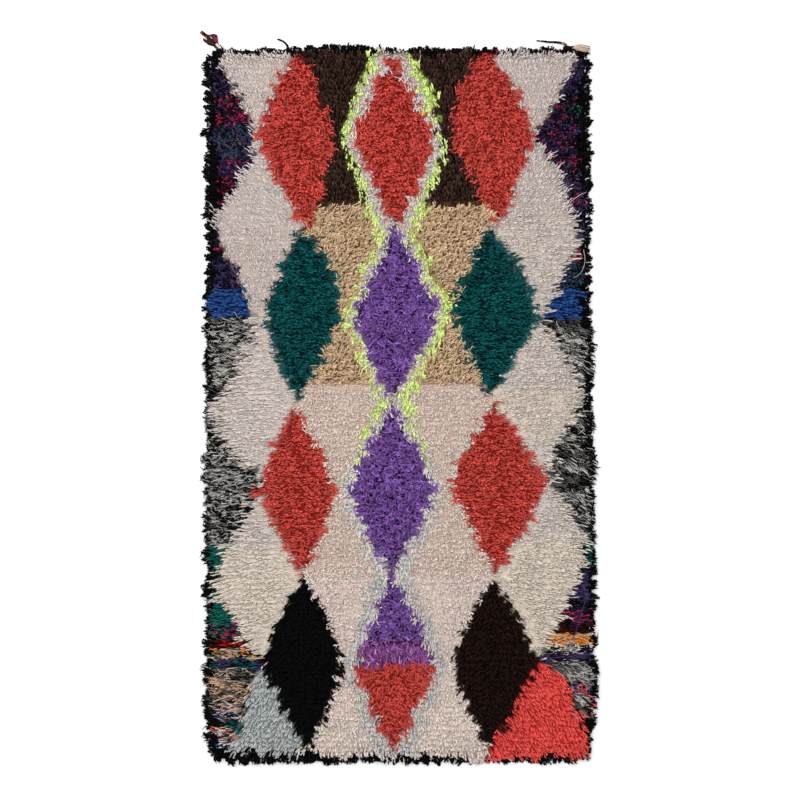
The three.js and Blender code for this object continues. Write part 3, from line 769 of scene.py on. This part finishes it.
def strand_faces(rings, sides):
    """Faces of one strand as vertex numbers, and where each corner goes on the strand's own square."""
    faces, places = [], []
    for ring in range(rings):
        low, high = (WALL_START + (1 - WALL_START) * (ring + k) / rings for k in range(2))
        start = ring * sides
        for k in range(sides):
            n = (k + 1) % sides
            u, w = k / sides, (k + 1) / sides
            if ring < rings - 1:
                faces.append([start + k, start + n, start + sides + n, start + sides + k])
                places.append([(u, low), (w, low), (w, high), (u, high)])
            else:
                faces.append([start + k, start + n, rings * sides])
                places.append([(u, low), (w, low), ((u + w) / 2, high)])
    cap = []
    for k in reversed(range(sides)):
        turn = 2 * math.pi * k / sides
        u, w = CAP_MIDDLE[0] + CAP_HALF[0] * math.cos(turn), CAP_MIDDLE[1] + CAP_HALF[1] * math.sin(turn)
        cap.append((u, w))
    return faces + [list(range(sides))[::-1]], places + [cap]


def add_object(name, data):
    thing = bpy.data.objects.new(name, data)
    bpy.context.scene.collection.objects.link(thing)
    return thing


def dye_and_shade_mesh(mesh, colours):
    """Gives every vertex of a mesh its colour: the yarn's own colour, and in the pile and its ground also
    painted shade.
    """
    rgba = np.concatenate([colours, np.ones((len(colours), 1))], 1)
    mesh.color_attributes.new("yarn_colour", "FLOAT_COLOR", "POINT").data.foreach_set("color", rgba.ravel())


TUBE_RADIUS = 0.56  # as a share of a strand's thickness
FLOOR_CLEAR = 0.0004
MAP_GAP = 0.06  # round a strand's square on the map


def strand_mesh(name, strands, sides=3):
    """One joined mesh of closed tapering tubes, with their colours and two sets of map places."""
    paths, widths, across = strands.paths, strands.widths, strands.across
    count, points, _ = paths.shape
    rings = points - 1
    run = np.gradient(paths, axis=1)
    run /= np.linalg.norm(run, axis=2, keepdims=True)
    run = run[:, :rings]
    flat = np.broadcast_to(across, (count, across.shape[1], 3))[:, :rings]
    flat = flat - run * (flat * run).sum(2, keepdims=True)
    flat /= np.linalg.norm(flat, axis=2, keepdims=True)
    up = np.cross(run, flat)
    turn = rng.uniform(0, 2 * math.pi, (count, 1, 1)) + 2 * math.pi * np.arange(sides) / sides
    spoke = np.cos(turn)[..., None] * flat[:, :, None] + np.sin(turn)[..., None] * up[:, :, None]
    tube = paths[:, :rings, None] + TUBE_RADIUS * widths[:, :rings, None, None] * spoke
    vertices = np.concatenate([tube.reshape(count, -1, 3), paths[:, -1:]], 1)
    vertices[..., 2] = np.maximum(vertices[..., 2], FLOOR_CLEAR)
    each = vertices.shape[1]

    faces, places = strand_faces(rings, sides)
    corners = np.concatenate([np.array(f) for f in faces])
    sizes = np.array([len(f) for f in faces])
    loops = (corners[None] + each * np.arange(count)[:, None]).ravel()
    starts = np.concatenate([[0], np.cumsum(np.tile(sizes, count))[:-1]])
    mesh = bpy.data.meshes.new(name)
    mesh.vertices.add(count * each)
    mesh.vertices.foreach_set("co", vertices.ravel())
    mesh.loops.add(len(loops))
    mesh.loops.foreach_set("vertex_index", loops)
    mesh.polygons.add(len(starts))
    mesh.polygons.foreach_set("loop_start", starts)
    mesh.polygons.foreach_set("use_smooth", np.ones(len(starts), bool))
    mesh.update(calc_edges=True)
    ring_colours = np.repeat(strands.colours[:, :rings], sides, axis=1)
    dye_and_shade_mesh(mesh, np.concatenate([ring_colours, strands.colours[:, -1:]], 1).reshape(-1, 3))

    own = np.concatenate([np.array(p) for p in places])
    length = np.linalg.norm(np.diff(paths, axis=1), axis=2).sum(1)
    around = np.broadcast_to(own[None], (count, len(own), 2)).copy()
    around[..., 1] *= length[:, None]
    mesh.uv_layers.new(name="yarn").data.foreach_set("uv", around.ravel())
    wide = math.ceil(math.sqrt(count))
    cell = np.stack([np.arange(count) % wide, np.arange(count) // wide], 1)[:, None]
    baked = (cell + MAP_GAP + (1 - 2 * MAP_GAP) * own[None]) / wide
    mesh.uv_layers.new(name="OFBake").data.foreach_set("uv", baked.ravel())
    return add_object(name, mesh)


SHEEN, SPECULAR = 0.015, 0.03
SHEEN_ROUGH = 0.5
TWIST = (2.0, 380.0, 1.0)  # how the ply's wave is scaled round a strand and along it


class Nodes:
    """A few short ways to wire a material."""

    def __init__(self, name):
        self.material = bpy.data.materials.new(name)
        self.material.use_nodes = True
        self.tree = self.material.node_tree
        self.shader = self.tree.nodes["Principled BSDF"]

    def add(self, kind, **settings):
        node = self.tree.nodes.new(kind)
        for key, value in settings.items():
            if key in node.inputs:
                node.inputs[key].default_value = value
            else:
                setattr(node, key, value)
        return node

    def link(self, source, target):
        self.tree.links.new(source, target)

    def texture(self, kind, vector, **settings):
        """The values of a texture over places."""
        node = self.add(kind, **settings)
        self.link(vector, node.inputs["Vector"])
        return node.outputs["Fac"]

    def ranged(self, value, low, high):
        node = self.add("ShaderNodeMapRange", **{"To Min": low, "To Max": high})
        self.link(value, node.inputs["Value"])
        return node.outputs["Result"]

    def times(self, colour, factor):
        """A colour made lighter or darker by a value."""
        node = self.add("ShaderNodeVectorMath", operation="SCALE")
        self.link(colour, node.inputs[0])
        self.link(factor, node.inputs["Scale"])
        return node.outputs["Vector"]

    def bump(self, height, strength, distance):
        node = self.add("ShaderNodeBump", Strength=strength, Distance=distance)
        self.link(height, node.inputs["Height"])
        self.link(node.outputs["Normal"], self.shader.inputs["Normal"])

    def heathered(self, place, grain, detail, shades, least_rough):
        """The mesh's own colours, with the shade painted into the pile, mottled by fibres of one grain, matt
        and with a soft sheen.
        """
        yarn_colour = self.add("ShaderNodeVertexColor", layer_name="yarn_colour").outputs["Color"]
        heather = self.texture("ShaderNodeTexNoise", place, Scale=grain, Detail=detail)
        self.link(self.times(yarn_colour, self.ranged(heather, *shades)), self.shader.inputs["Base Color"])
        self.link(self.ranged(heather, least_rough, 1.0), self.shader.inputs["Roughness"])
        self.shader.inputs["Sheen Weight"].default_value = SHEEN
        self.shader.inputs["Specular IOR Level"].default_value = SPECULAR


def wool(name):
    """Spun wool: the strand's colours, which carry painted shade in the pile, with heathered fibres, a ply
    twist and a soft sheen.
    """
    m = Nodes(name)
    place = m.add("ShaderNodeTexCoord").outputs["Object"]
    m.heathered(place, grain=620.0, detail=3.0, shades=(0.80, 1.20), least_rough=0.84)
    m.shader.inputs["Sheen Roughness"].default_value = SHEEN_ROUGH
    scaled = m.add("ShaderNodeMapping", Scale=TWIST)
    m.link(m.add("ShaderNodeUVMap", uv_map="yarn").outputs["UV"], scaled.inputs["Vector"])
    ply = m.texture("ShaderNodeTexWave", scaled.outputs["Vector"],
                    bands_direction="DIAGONAL", Scale=0.5, Distortion=1.5)
    m.bump(ply, strength=0.35, distance=0.0008)
    return m.material


def woven_ground():
    """The knotted ground: warp and weft ridges under the pile and on the back."""
    m = Nodes("woven_ground")
    place = m.add("ShaderNodeTexCoord").outputs["Object"]
    m.heathered(place, grain=260.0, detail=4.0, shades=(0.65, 1.25), least_rough=0.86)
    weft = m.texture("ShaderNodeTexWave", place, bands_direction="Y", Scale=60.0, Distortion=1.2)
    warp = m.texture("ShaderNodeTexWave", place, bands_direction="X", Scale=80.0, Distortion=1.0)
    knots = m.add("ShaderNodeMath", operation="MULTIPLY")
    m.link(weft, knots.inputs[0])
    m.link(warp, knots.inputs[1])
    m.bump(knots.outputs["Value"], strength=0.8, distance=0.002)
    return m.material


GROUND_CELL = 0.016
GROUND_SHARE = (0.46, 0.64)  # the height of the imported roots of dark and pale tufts, as a share of the pile
DARK_ROOT, PALE_ROOT = 0.10, 0.40  # how light dark and pale roots are
GROUND_INSET = 0.012
GROUND_BORDER = 0.006  # the dark border is this much wider at the roots
GROUND_BACK = 0.0005  # the height of the back


def ground_sheet(slab, pattern):
    """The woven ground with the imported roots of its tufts, as one closed sheet inside the rug's outline."""
    columns, rows = (int(size / GROUND_CELL) for size in RUG_FLAT)
    there = ~np.isnan(slab.left)
    ends = slab.ys[there][[0, -1]] + np.array([GROUND_INSET, -GROUND_INSET])
    y = np.linspace(*ends, rows + 1)
    left = np.interp(y, slab.ys[there], slab.left[there]) + GROUND_INSET
    right = np.interp(y, slab.ys[there], slab.right[there]) - GROUND_INSET
    x = left[:, None] + (right - left)[:, None] * np.linspace(0, 1, columns + 1)
    y = np.repeat(y[:, None], columns + 1, 1)
    px, py = x.ravel() - MIDDLE[0], y.ravel() - MIDDLE[1]
    edges = slab.edge_distances(x.ravel(), y.ravel())
    low_rim = smoothstep(0, 2 * RIM_WIDTH, edges.min(0)).reshape(x.shape)
    still = np.zeros(len(px))
    zone = pattern.at(px, py, edges - GROUND_BORDER, still, still)
    yarn = pick_yarns(pattern, zone, px, py, knots_at(px, py))
    # The ground takes the root colours of its yarns: painted shade deep in the pile
    coloured = linear(column(YARNS.values(), "root", yarn))
    pale = smoothstep(DARK_ROOT, PALE_ROOT, coloured.mean(1)).reshape(x.shape)
    share = GROUND_SHARE[0] + (GROUND_SHARE[1] - GROUND_SHARE[0]) * pale
    top = np.maximum(share * slab.height(x, y) * low_rim, ROOT_HEIGHT)
    points = np.concatenate([np.stack([x, y, z], 2) for z in (top, np.full_like(x, GROUND_BACK))])
    number = np.arange(2 * (rows + 1) * (columns + 1)).reshape(2, rows + 1, columns + 1)

    def cells(grid):
        return np.stack([grid[:-1, :-1], grid[:-1, 1:], grid[1:, 1:], grid[1:, :-1]], 2).reshape(-1, 4)

    rim = [number[:, 0, :-1], number[:, :-1, -1], number[:, -1, :0:-1], number[:, :0:-1, 0]]
    rim = np.concatenate(rim, 1)
    wall = np.stack([rim[1], np.roll(rim[1], -1), np.roll(rim[0], -1), rim[0]], 1)
    faces = np.concatenate([cells(number[0]), cells(number[1])[:, ::-1], wall])
    mesh = bpy.data.meshes.new("ground")
    mesh.from_pydata(points.reshape(-1, 3), [], faces.tolist())
    mesh.shade_smooth()
    dye_and_shade_mesh(mesh, np.tile(coloured, (2, 1)))
    mesh.materials.append(woven_ground())
    return add_object("ground", mesh)


# Loose yarns: a line of places (x, y, height), thickness, how many plies are twisted together, the yarns of
# the plies, and the thickness at the start, the middle and the end as shares
Cord = namedtuple("Cord", "line thick plies yarns taper")
CORD_POINTS = 10
CORD_SIDES = 5
PLY_TURN = 900.0  # radians of twist in a metre
PLY_OFF, PLY_THICK = 0.28, 0.56  # how far out a ply runs and how thick it is, as shares of the cord
CORD_DIFFER = 0.12
CORD_MOTTLED = (0.85, 1.1)
EVEN, TAPERED, TAIL, HEAVY = (1.0, 1.0, 0.8), (1.0, 0.9, 0.5), (0.7, 1.2, 0.5), (1.3, 1.0, 0.6)


def smooth_line(points, count):
    """Places along a smooth line through the given points."""
    points = np.asarray(points, float)
    at = np.linspace(0, len(points) - 1, count)
    i = np.clip(at.astype(int), 0, len(points) - 2)
    t = (at - i)[:, None]
    before, start = points[np.maximum(i - 1, 0)], points[i]
    end, after = points[i + 1], points[np.minimum(i + 2, len(points) - 1)]
    bend = (2 * before - 5 * start + 4 * end - after) * t**2 + (3 * start - before - 3 * end + after) * t**3
    return 0.5 * (2 * start + (end - before) * t + bend)


def cord_mesh(name, cords):
    """One mesh of loose yarns, each of them twisted from its plies."""
    paths, widths, colours = [], [], []
    for cord in cords:
        line = smooth_line(cord.line, CORD_POINTS)
        thick = cord.thick * np.interp(np.linspace(0, 2, CORD_POINTS), [0, 1, 2], cord.taper)
        run = np.gradient(line, axis=0)
        run /= np.linalg.norm(run, axis=1, keepdims=True)
        side = np.cross(run, (0.0, 0.0, 1.0))
        side /= np.linalg.norm(side, axis=1, keepdims=True)
        over = np.cross(side, run)
        gone = np.concatenate([[0], np.cumsum(np.linalg.norm(np.diff(line, axis=0), axis=1))])
        yarns = cord.yarns.split()
        twisted = cord.plies > 1
        for ply in range(cord.plies):
            turn = PLY_TURN * gone + 2 * math.pi * ply / cord.plies
            off = PLY_OFF * thick * twisted
            path = line + (off * np.cos(turn))[:, None] * side + (off * np.sin(turn))[:, None] * over
            paths.append(path)
            widths.append(thick * (PLY_THICK if twisted else 1.0))
            coloured = linear(YARNS[yarns[ply % len(yarns)]].tip) * math.exp(rng.normal(0, CORD_DIFFER))
            colours.append(np.tile(coloured, (CORD_POINTS, 1)) * rng.uniform(*CORD_MOTTLED, (CORD_POINTS, 1)))
    across = np.tile(np.array([0.0, 0.0, 1.0]), (len(paths), 1, 1))
    colours = np.clip(colours, DARKEST, LIGHTEST)
    return strand_mesh(name, Strands(np.array(paths), np.array(widths), across, colours), CORD_SIDES)


def moved(line, x, y):
    return [(x + across, y + along, z) for across, along, z in line]


def dress(thing, node):
    """Says what a piece rides on, and hides the node that it stands for."""
    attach(thing, "root")
    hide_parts(node)


def make_yarns(name, cords, node, slot):
    """Loose yarns as a piece of their own that stands for one node."""
    thing = cord_mesh(name, cords)
    thing.data.materials.append(wool(slot))
    dress(thing, node)


# Threads that lie loose on the pile: the places that each runs through, from the body's middle
THREAD_RISE = 0.001  # above the pile
THREAD_THICK = 0.0014
THREADS = [
    ("white", [(-0.0115, 0.838), (0.010, 0.828), (0.024, 0.794)]),
    ("mist", [(0.055, 0.908), (0.056, 0.888), (0.047, 0.871)]),
    ("blue_grey", [(0.472, 0.397), (0.476, 0.367), (0.464, 0.336), (0.442, 0.324)]),
    ("violet", [(0.4826, -0.478), (0.465, -0.537), (0.444, -0.601), (0.429, -0.627)]),
    ("umber", [(0.306, -0.760), (0.322, -0.772), (0.337, -0.790)]),
    ("umber", [(0.290, -0.800), (0.304, -0.826), (0.321, -0.844)]),
    ("black", [(-0.262, -0.775), (-0.280, -0.786), (-0.293, -0.792)]),
    ("white", [(0.438, 0.518), (0.462, 0.536), (0.480, 0.544)]),
    ("lime", [(-0.100, -0.140), (-0.128, -0.165), (-0.150, -0.204)]),
    ("ash", [(0.402, 0.215), (0.412, 0.190), (0.432, 0.168)]),
]


def loose_threads(slab):
    cords = []
    for yarn, places in THREADS:
        x, y = (np.array(values) + middle for values, middle in zip(zip(*places), MIDDLE))
        line = np.stack([x, y, slab.height(x, y) + THREAD_RISE], 1)
        cords.append(Cord(line, THREAD_THICK, 1, yarn, TAPERED))
    return cord_mesh("loose_threads", cords)


def make_rug():
    slab = Slab(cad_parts["rug"])
    pattern = Pattern()
    ground = ground_sheet(slab, pattern)
    dress(ground, "rug")
    pile = knotted_pile(slab, pattern)
    strands = shaped_strands(slab, pattern, pile)
    material = wool("pile_wool")
    pieces = [loose_threads(slab)]
    for name, (yarns, points) in PILE_PIECES.items():
        chosen = np.isin(pile["yarn"], [YARN_NAMES.index(yarn) for yarn in yarns.split()])
        if name.endswith("_left"):
            chosen &= pile["x"] < MIDDLE[0]
        if name.endswith("_right"):
            chosen &= pile["x"] >= MIDDLE[0]
        kept = Strands(strands.paths[chosen][:, points], strands.widths[chosen][:, points],
                       strands.across[chosen], strands.colours[chosen][:, points])
        pieces.append(strand_mesh(name, kept))
    for piece in pieces:
        piece.data.materials.append(material)
        dress(piece, "rug")


# The corner tassel from where it grows out of the corner: yarns, their thickness, and the places that each
# runs through, along the tassel's heading, across it to the left, and up
TASSEL_ROOT_INSET = (-0.0024, 0.0026)  # from the corner of its box that is nearest the rug
TASSEL_HEADING = math.radians(137)
TASSEL_YARNS = [
    # The neck
    ("umber", 0.0046, [(-0.006, 0.003, 0.004), (0.004, 0.0045, 0.004), (0.016, 0.004, 0.004)]),
    ("umber", 0.0042, [(-0.006, 0.000, 0.003), (0.004, 0.0005, 0.003), (0.016, 0.001, 0.005)]),
    ("black", 0.0042, [(-0.010, -0.006, 0.008), (0.002, -0.005, 0.004), (0.014, -0.005, 0.004)]),
    ("pine", 0.0026, [(0.000, 0.004, 0.007), (0.004, 0.003, 0.0075), (0.008, 0.004, 0.007)]),
    ("white", 0.0042, [(-0.002, -0.001, 0.007), (0.005, -0.0015, 0.008), (0.013, -0.002, 0.008)]),
    ("white", 0.0040, [(-0.004, -0.004, 0.007), (0.005, -0.0048, 0.008), (0.013, -0.004, 0.008)]),
    ("rose", 0.0016, [(-0.006, -0.003, 0.007), (0.004, -0.003, 0.009), (0.014, -0.003, 0.009)]),
    ("maroon", 0.0030, [(-0.008, -0.007, 0.007), (0.003, -0.0075, 0.006), (0.012, -0.006, 0.007)]),
    ("pink", 0.0026, [(-0.010, -0.008, 0.010), (-0.008, -0.010, 0.011), (-0.005, -0.010, 0.010)]),
    # The loose ends
    ("maroon", 0.0046, [(0.036, -0.001, 0.007), (0.052, 0.000, 0.006), (0.064, 0.003, 0.004)]),
    ("red", 0.0024, [(0.038, 0.001, 0.006), (0.053, 0.003, 0.006), (0.062, 0.0045, 0.005)]),
    ("umber", 0.0044, [(0.036, -0.003, 0.006), (0.052, -0.003, 0.005), (0.065, -0.002, 0.003)]),
    ("brown", 0.0040, [(0.036, 0.000, 0.004), (0.048, 0.002, 0.003), (0.057, 0.004, 0.002)]),
    ("brown", 0.0044, [(0.026, 0.006, 0.006), (0.038, 0.009, 0.005), (0.047, 0.010, 0.003)]),
    ("umber", 0.0044, [(0.024, 0.007, 0.004), (0.035, 0.011, 0.004), (0.044, 0.012, 0.003)]),
    ("brown", 0.0038, [(0.028, 0.005, 0.003), (0.038, 0.008, 0.003), (0.047, 0.008, 0.002)]),
    ("magenta", 0.0026, [(0.017, -0.006, 0.012), (0.025, -0.008, 0.0145), (0.033, -0.007, 0.0140)]),
    ("pink", 0.0014, [(0.028, -0.005, 0.0140), (0.032, -0.006, 0.0142), (0.036, -0.006, 0.0135)]),
    ("magenta", 0.0022, [(0.016, -0.009, 0.011), (0.022, -0.012, 0.0135), (0.028, -0.012, 0.0135)]),
    ("violet", 0.0024, [(0.018, -0.013, 0.010), (0.024, -0.016, 0.012), (0.030, -0.016, 0.012)]),
    ("mist", 0.0014, [(0.024, 0.009, 0.003), (0.028, 0.013, 0.002), (0.033, 0.014, 0.002)]),
    ("salmon", 0.0010, [(0.014, -0.009, 0.006), (0.020, -0.013, 0.006), (0.026, -0.019, 0.004)]),
]
BUD_START, BUD_END = 0.012, 0.046
BUD_LEFT, BUD_RIGHT = 0.010, -0.021  # how far the bud bulges to either side
BUD_HEIGHT = 0.0125
BUD_LAYERS = 3
BUD_DYES = "umber olive umber olive umber olive brown olive umber".split()  # across one layer
BUD_THICK = 0.0044
BUD_ROUND = 0.8  # how far up a ball's side the top of the bud is
BUD_SIDE_DROP, BUD_SIDE_SHORT = 0.5, 0.010  # how much lower and shorter the yarns at the sides are
BUD_END_VARIES = 0.002
YARN_STRAY = 0.0006
# Across and up at the bud's start and end: a place, and a share of where the yarn is at the bud's middle
START_ASIDE, START_UP = (-0.002, 0.25), (0.003, 0.35)
END_ASIDE, END_UP = (0.0, 0.45), (0.002, 0.6)


def bud_yarns():
    """The layers of yarn that make the bud between the tassel's neck and its loose ends."""
    yarns = []
    for layer in range(BUD_LAYERS):
        rise = (layer + 0.5) / BUD_LAYERS
        spread = math.sqrt(1 - (rise * BUD_ROUND) ** 2)
        for k, yarn_colour in enumerate(BUD_DYES):
            share = k / (len(BUD_DYES) - 1)
            off_middle = (2 * share - 1) ** 2
            aside = (BUD_LEFT + (BUD_RIGHT - BUD_LEFT) * share) * spread + rng.normal(0, YARN_STRAY)
            high = max(BUD_HEIGHT * rise * (1 - BUD_SIDE_DROP * off_middle), BUD_THICK / 2)
            middle = (BUD_START + BUD_END) / 2 + rng.normal(0, BUD_END_VARIES)
            end = BUD_END - BUD_SIDE_SHORT * off_middle + rng.normal(0, BUD_END_VARIES)
            line = [
                (BUD_START, START_ASIDE[0] + START_ASIDE[1] * aside, START_UP[0] + START_UP[1] * high),
                (middle, aside, high),
                (end, END_ASIDE[0] + END_ASIDE[1] * aside, END_UP[0] + END_UP[1] * high),
            ]
            yarns.append((yarn_colour, BUD_THICK, line))
    return yarns


def make_tassel():
    low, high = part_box("corner_tassel")
    root = (high.x + TASSEL_ROOT_INSET[0], low.y + TASSEL_ROOT_INSET[1])
    c, s = math.cos(TASSEL_HEADING), math.sin(TASSEL_HEADING)
    cords = []
    for yarn, thick, line in TASSEL_YARNS + bud_yarns():
        places = [(root[0] + along * c - aside * s, root[1] + along * s + aside * c, z)
                  for along, aside, z in line]
        cords.append(Cord(places, thick, 2, yarn, EVEN))
    make_yarns("tassel", cords, "corner_tassel", "tassel_wool")


# The cut ends, from the right end of their box and the rug's edge: the bundle, the dark yarn beside it, the
# knots, and the long end with thin yarns along its start
BUNDLE_LENGTH = 0.046
BUNDLE_YARNS = 16
BUNDLE_DYES = "fawn ash fawn slate fawn salmon".split()
BUNDLE_NECK = 0.3  # how far across the yarns lie at the bundle's start, as a share of its middle
BUNDLE_MIDDLE = (-0.007, 0.0095)  # how far the yarns lie across at the bundle's middle
BUNDLE_END = (-0.0125, 0.0040)  # the same at its end
BUNDLE_MIDDLE_AT = 0.4
BUNDLE_HEIGHT = 0.010
BUNDLE_LAYERS = (0.4, 1.0)
START_HEIGHT, END_HEIGHT = 0.6, 0.7  # as shares of the middle's
BUNDLE_PAST, BUNDLE_RAGGED = 0.005, 0.006  # how far yarns can go past the box, and how much that varies
UNDER_LINE = [(-0.042, -0.004, 0.009), (-0.02, -0.010, 0.010), (0.004, -0.0145, 0.008)]
KNOT_PLACES = (-0.064, -0.059, -0.053, -0.048, -0.043)
KNOT_ABOVE = 0.002
KNOT_LINE = [(-0.002, -0.004, 0.004), (0.0, 0.003, 0.007), (0.003, -0.003, 0.005)]
LONG_END = [(-0.060, 0.002), (-0.060, 0.009), (-0.066, 0.0135), (-0.080, 0.0155), (-0.108, 0.0175),
            (-0.126, 0.0195), (-0.138, 0.0205)]
LONG_END_HEIGHT = 0.0032
WRAPS = [("red", 0.0012), ("pine", -0.0012), ("mist", 0.0004), ("orange", -0.0004)]
WRAP_RISE = 0.0022
BUNDLE_THICK, UNDER_THICK, KNOT_THICK, LONG_END_THICK, WRAP_THICK = 0.0026, 0.0046, 0.0052, 0.0060, 0.0018


def make_cut_ends():
    low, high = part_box("cut_ends")
    cords = []
    start = high.x - BUNDLE_LENGTH
    for k in range(BUNDLE_YARNS):
        share = k / (BUNDLE_YARNS - 1)
        middle, aside = (first + (last - first) * share for first, last in (BUNDLE_MIDDLE, BUNDLE_END))
        z = rng.uniform(*BUNDLE_LAYERS) * BUNDLE_HEIGHT
        end = high.x + BUNDLE_PAST - rng.uniform(0.0, BUNDLE_RAGGED)
        line = [
            (start, low.y + BUNDLE_NECK * middle, START_HEIGHT * z),
            (start + BUNDLE_MIDDLE_AT * BUNDLE_LENGTH, low.y + middle, z),
            (end, low.y + aside + rng.normal(0, YARN_STRAY), END_HEIGHT * z),
        ]
        cords.append(Cord(line, BUNDLE_THICK, 1, BUNDLE_DYES[k % len(BUNDLE_DYES)], TAPERED))
    cords.append(Cord(moved(UNDER_LINE, high.x, low.y), UNDER_THICK, 2, "umber black", EVEN))
    for across in KNOT_PLACES:
        knot = moved(KNOT_LINE, high.x + across, low.y + KNOT_ABOVE)
        cords.append(Cord(knot, KNOT_THICK, 2, "black umber", EVEN))
    long_end = [(high.x + across, low.y + above, LONG_END_HEIGHT) for across, above in LONG_END]
    cords.append(Cord(long_end, LONG_END_THICK, 3, "black black umber", HEAVY))
    for yarn_colour, off in WRAPS:
        line = [(x + off, y + off, z + WRAP_RISE) for x, y, z in long_end[1:4]]
        cords.append(Cord(line, WRAP_THICK, 1, yarn_colour, EVEN))
    make_yarns("weave_ends", cords, "cut_ends", "weave_ends")


# The stray end, as shares of its box from its root on the right to its tip on the left, and its foot
STRAY_LINE = [(0.92, -0.14), (0.88, 0.03), (0.76, 0.32), (0.58, 0.58), (0.32, 0.78), (0.02, 0.88)]
STRAY_HEIGHT = 0.0026
FOOT_LINE = [(-0.006, -0.002, 0.006), (0.0, -0.002, 0.006), (0.006, -0.002, 0.006)]
STRAY_THICK, FOOT_THICK = 0.0056, 0.0050


def make_stray_end():
    low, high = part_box("stray_end")
    width, depth = high.x - low.x, high.y - low.y
    line = [(low.x + u * width, low.y + v * depth, STRAY_HEIGHT) for u, v in STRAY_LINE]
    foot = moved(FOOT_LINE, *line[0][:2])
    cords = [
        Cord(line, STRAY_THICK, 3, "black umber black", EVEN),
        Cord(foot, FOOT_THICK, 2, "black umber", TAIL),
    ]
    make_yarns("stray_yarn", cords, "stray_end", "stray_yarn")


# The photograph's view: straight down, with 800 pixels across the frame
FRAME_WIDTH = 2.048  # metres across the frame at the floor
VIEW_OFFSET = (0.0038, 0.0134)  # from the body's middle
CAMERA_HEIGHT = 6.0
SENSOR_MM = 36.0


def make_camera():
    data = bpy.data.cameras.new("camera")
    data.sensor_width = SENSOR_MM
    data.lens = SENSOR_MM * CAMERA_HEIGHT / FRAME_WIDTH
    camera = add_object("camera", data)
    camera.location = (MIDDLE[0] + VIEW_OFFSET[0], MIDDLE[1] + VIEW_OFFSET[1], CAMERA_HEIGHT)
    bpy.context.scene.camera = camera


FLOOR_HALF = 8.0
FLOOR_HEIGHT = -0.001
FLOOR_COLOUR, FLOOR_ROUGH = (0.94, 0.94, 0.94, 1), 0.9


def make_floor():
    corners = [(FLOOR_HALF * x, FLOOR_HALF * y, 0) for x, y in ((-1, -1), (1, -1), (1, 1), (-1, 1))]
    mesh = bpy.data.meshes.new("floor")
    mesh.from_pydata(corners, [], [(0, 1, 2, 3)])
    floor = add_object("floor", mesh)
    floor.location.z = FLOOR_HEIGHT
    m = Nodes("floor_paper")
    m.shader.inputs["Base Color"].default_value = FLOOR_COLOUR
    m.shader.inputs["Roughness"].default_value = FLOOR_ROUGH
    mesh.materials.append(m.material)


Light = namedtuple("Light", "place size power")
LIGHTS = {
    "overhead": Light((0.0, 0.4, 4.2), 4.5, 190.0),
    "side": Light((-2.6, 2.2, 2.6), 1.6, 60.0),
}
SKY = 0.42


def make_lights():
    for name, light in LIGHTS.items():
        data = bpy.data.lights.new(name, "AREA")
        data.size = light.size
        data.energy = light.power
        lamp = add_object(name, data)
        lamp.location = light.place
        lamp.rotation_euler = (-lamp.location).to_track_quat("-Z", "Y").to_euler()
        lamp.visible_camera = False
    world = bpy.data.worlds.new("sky")
    world.use_nodes = True
    background = world.node_tree.nodes["Background"]
    background.inputs["Color"].default_value = (1, 1, 1, 1)
    background.inputs["Strength"].default_value = SKY
    bpy.context.scene.world = world
    bpy.context.scene.view_settings.view_transform = "Standard"


make_camera()
make_floor()
make_lights()
make_rug()
make_tassel()
make_cut_ends()
make_stray_end()
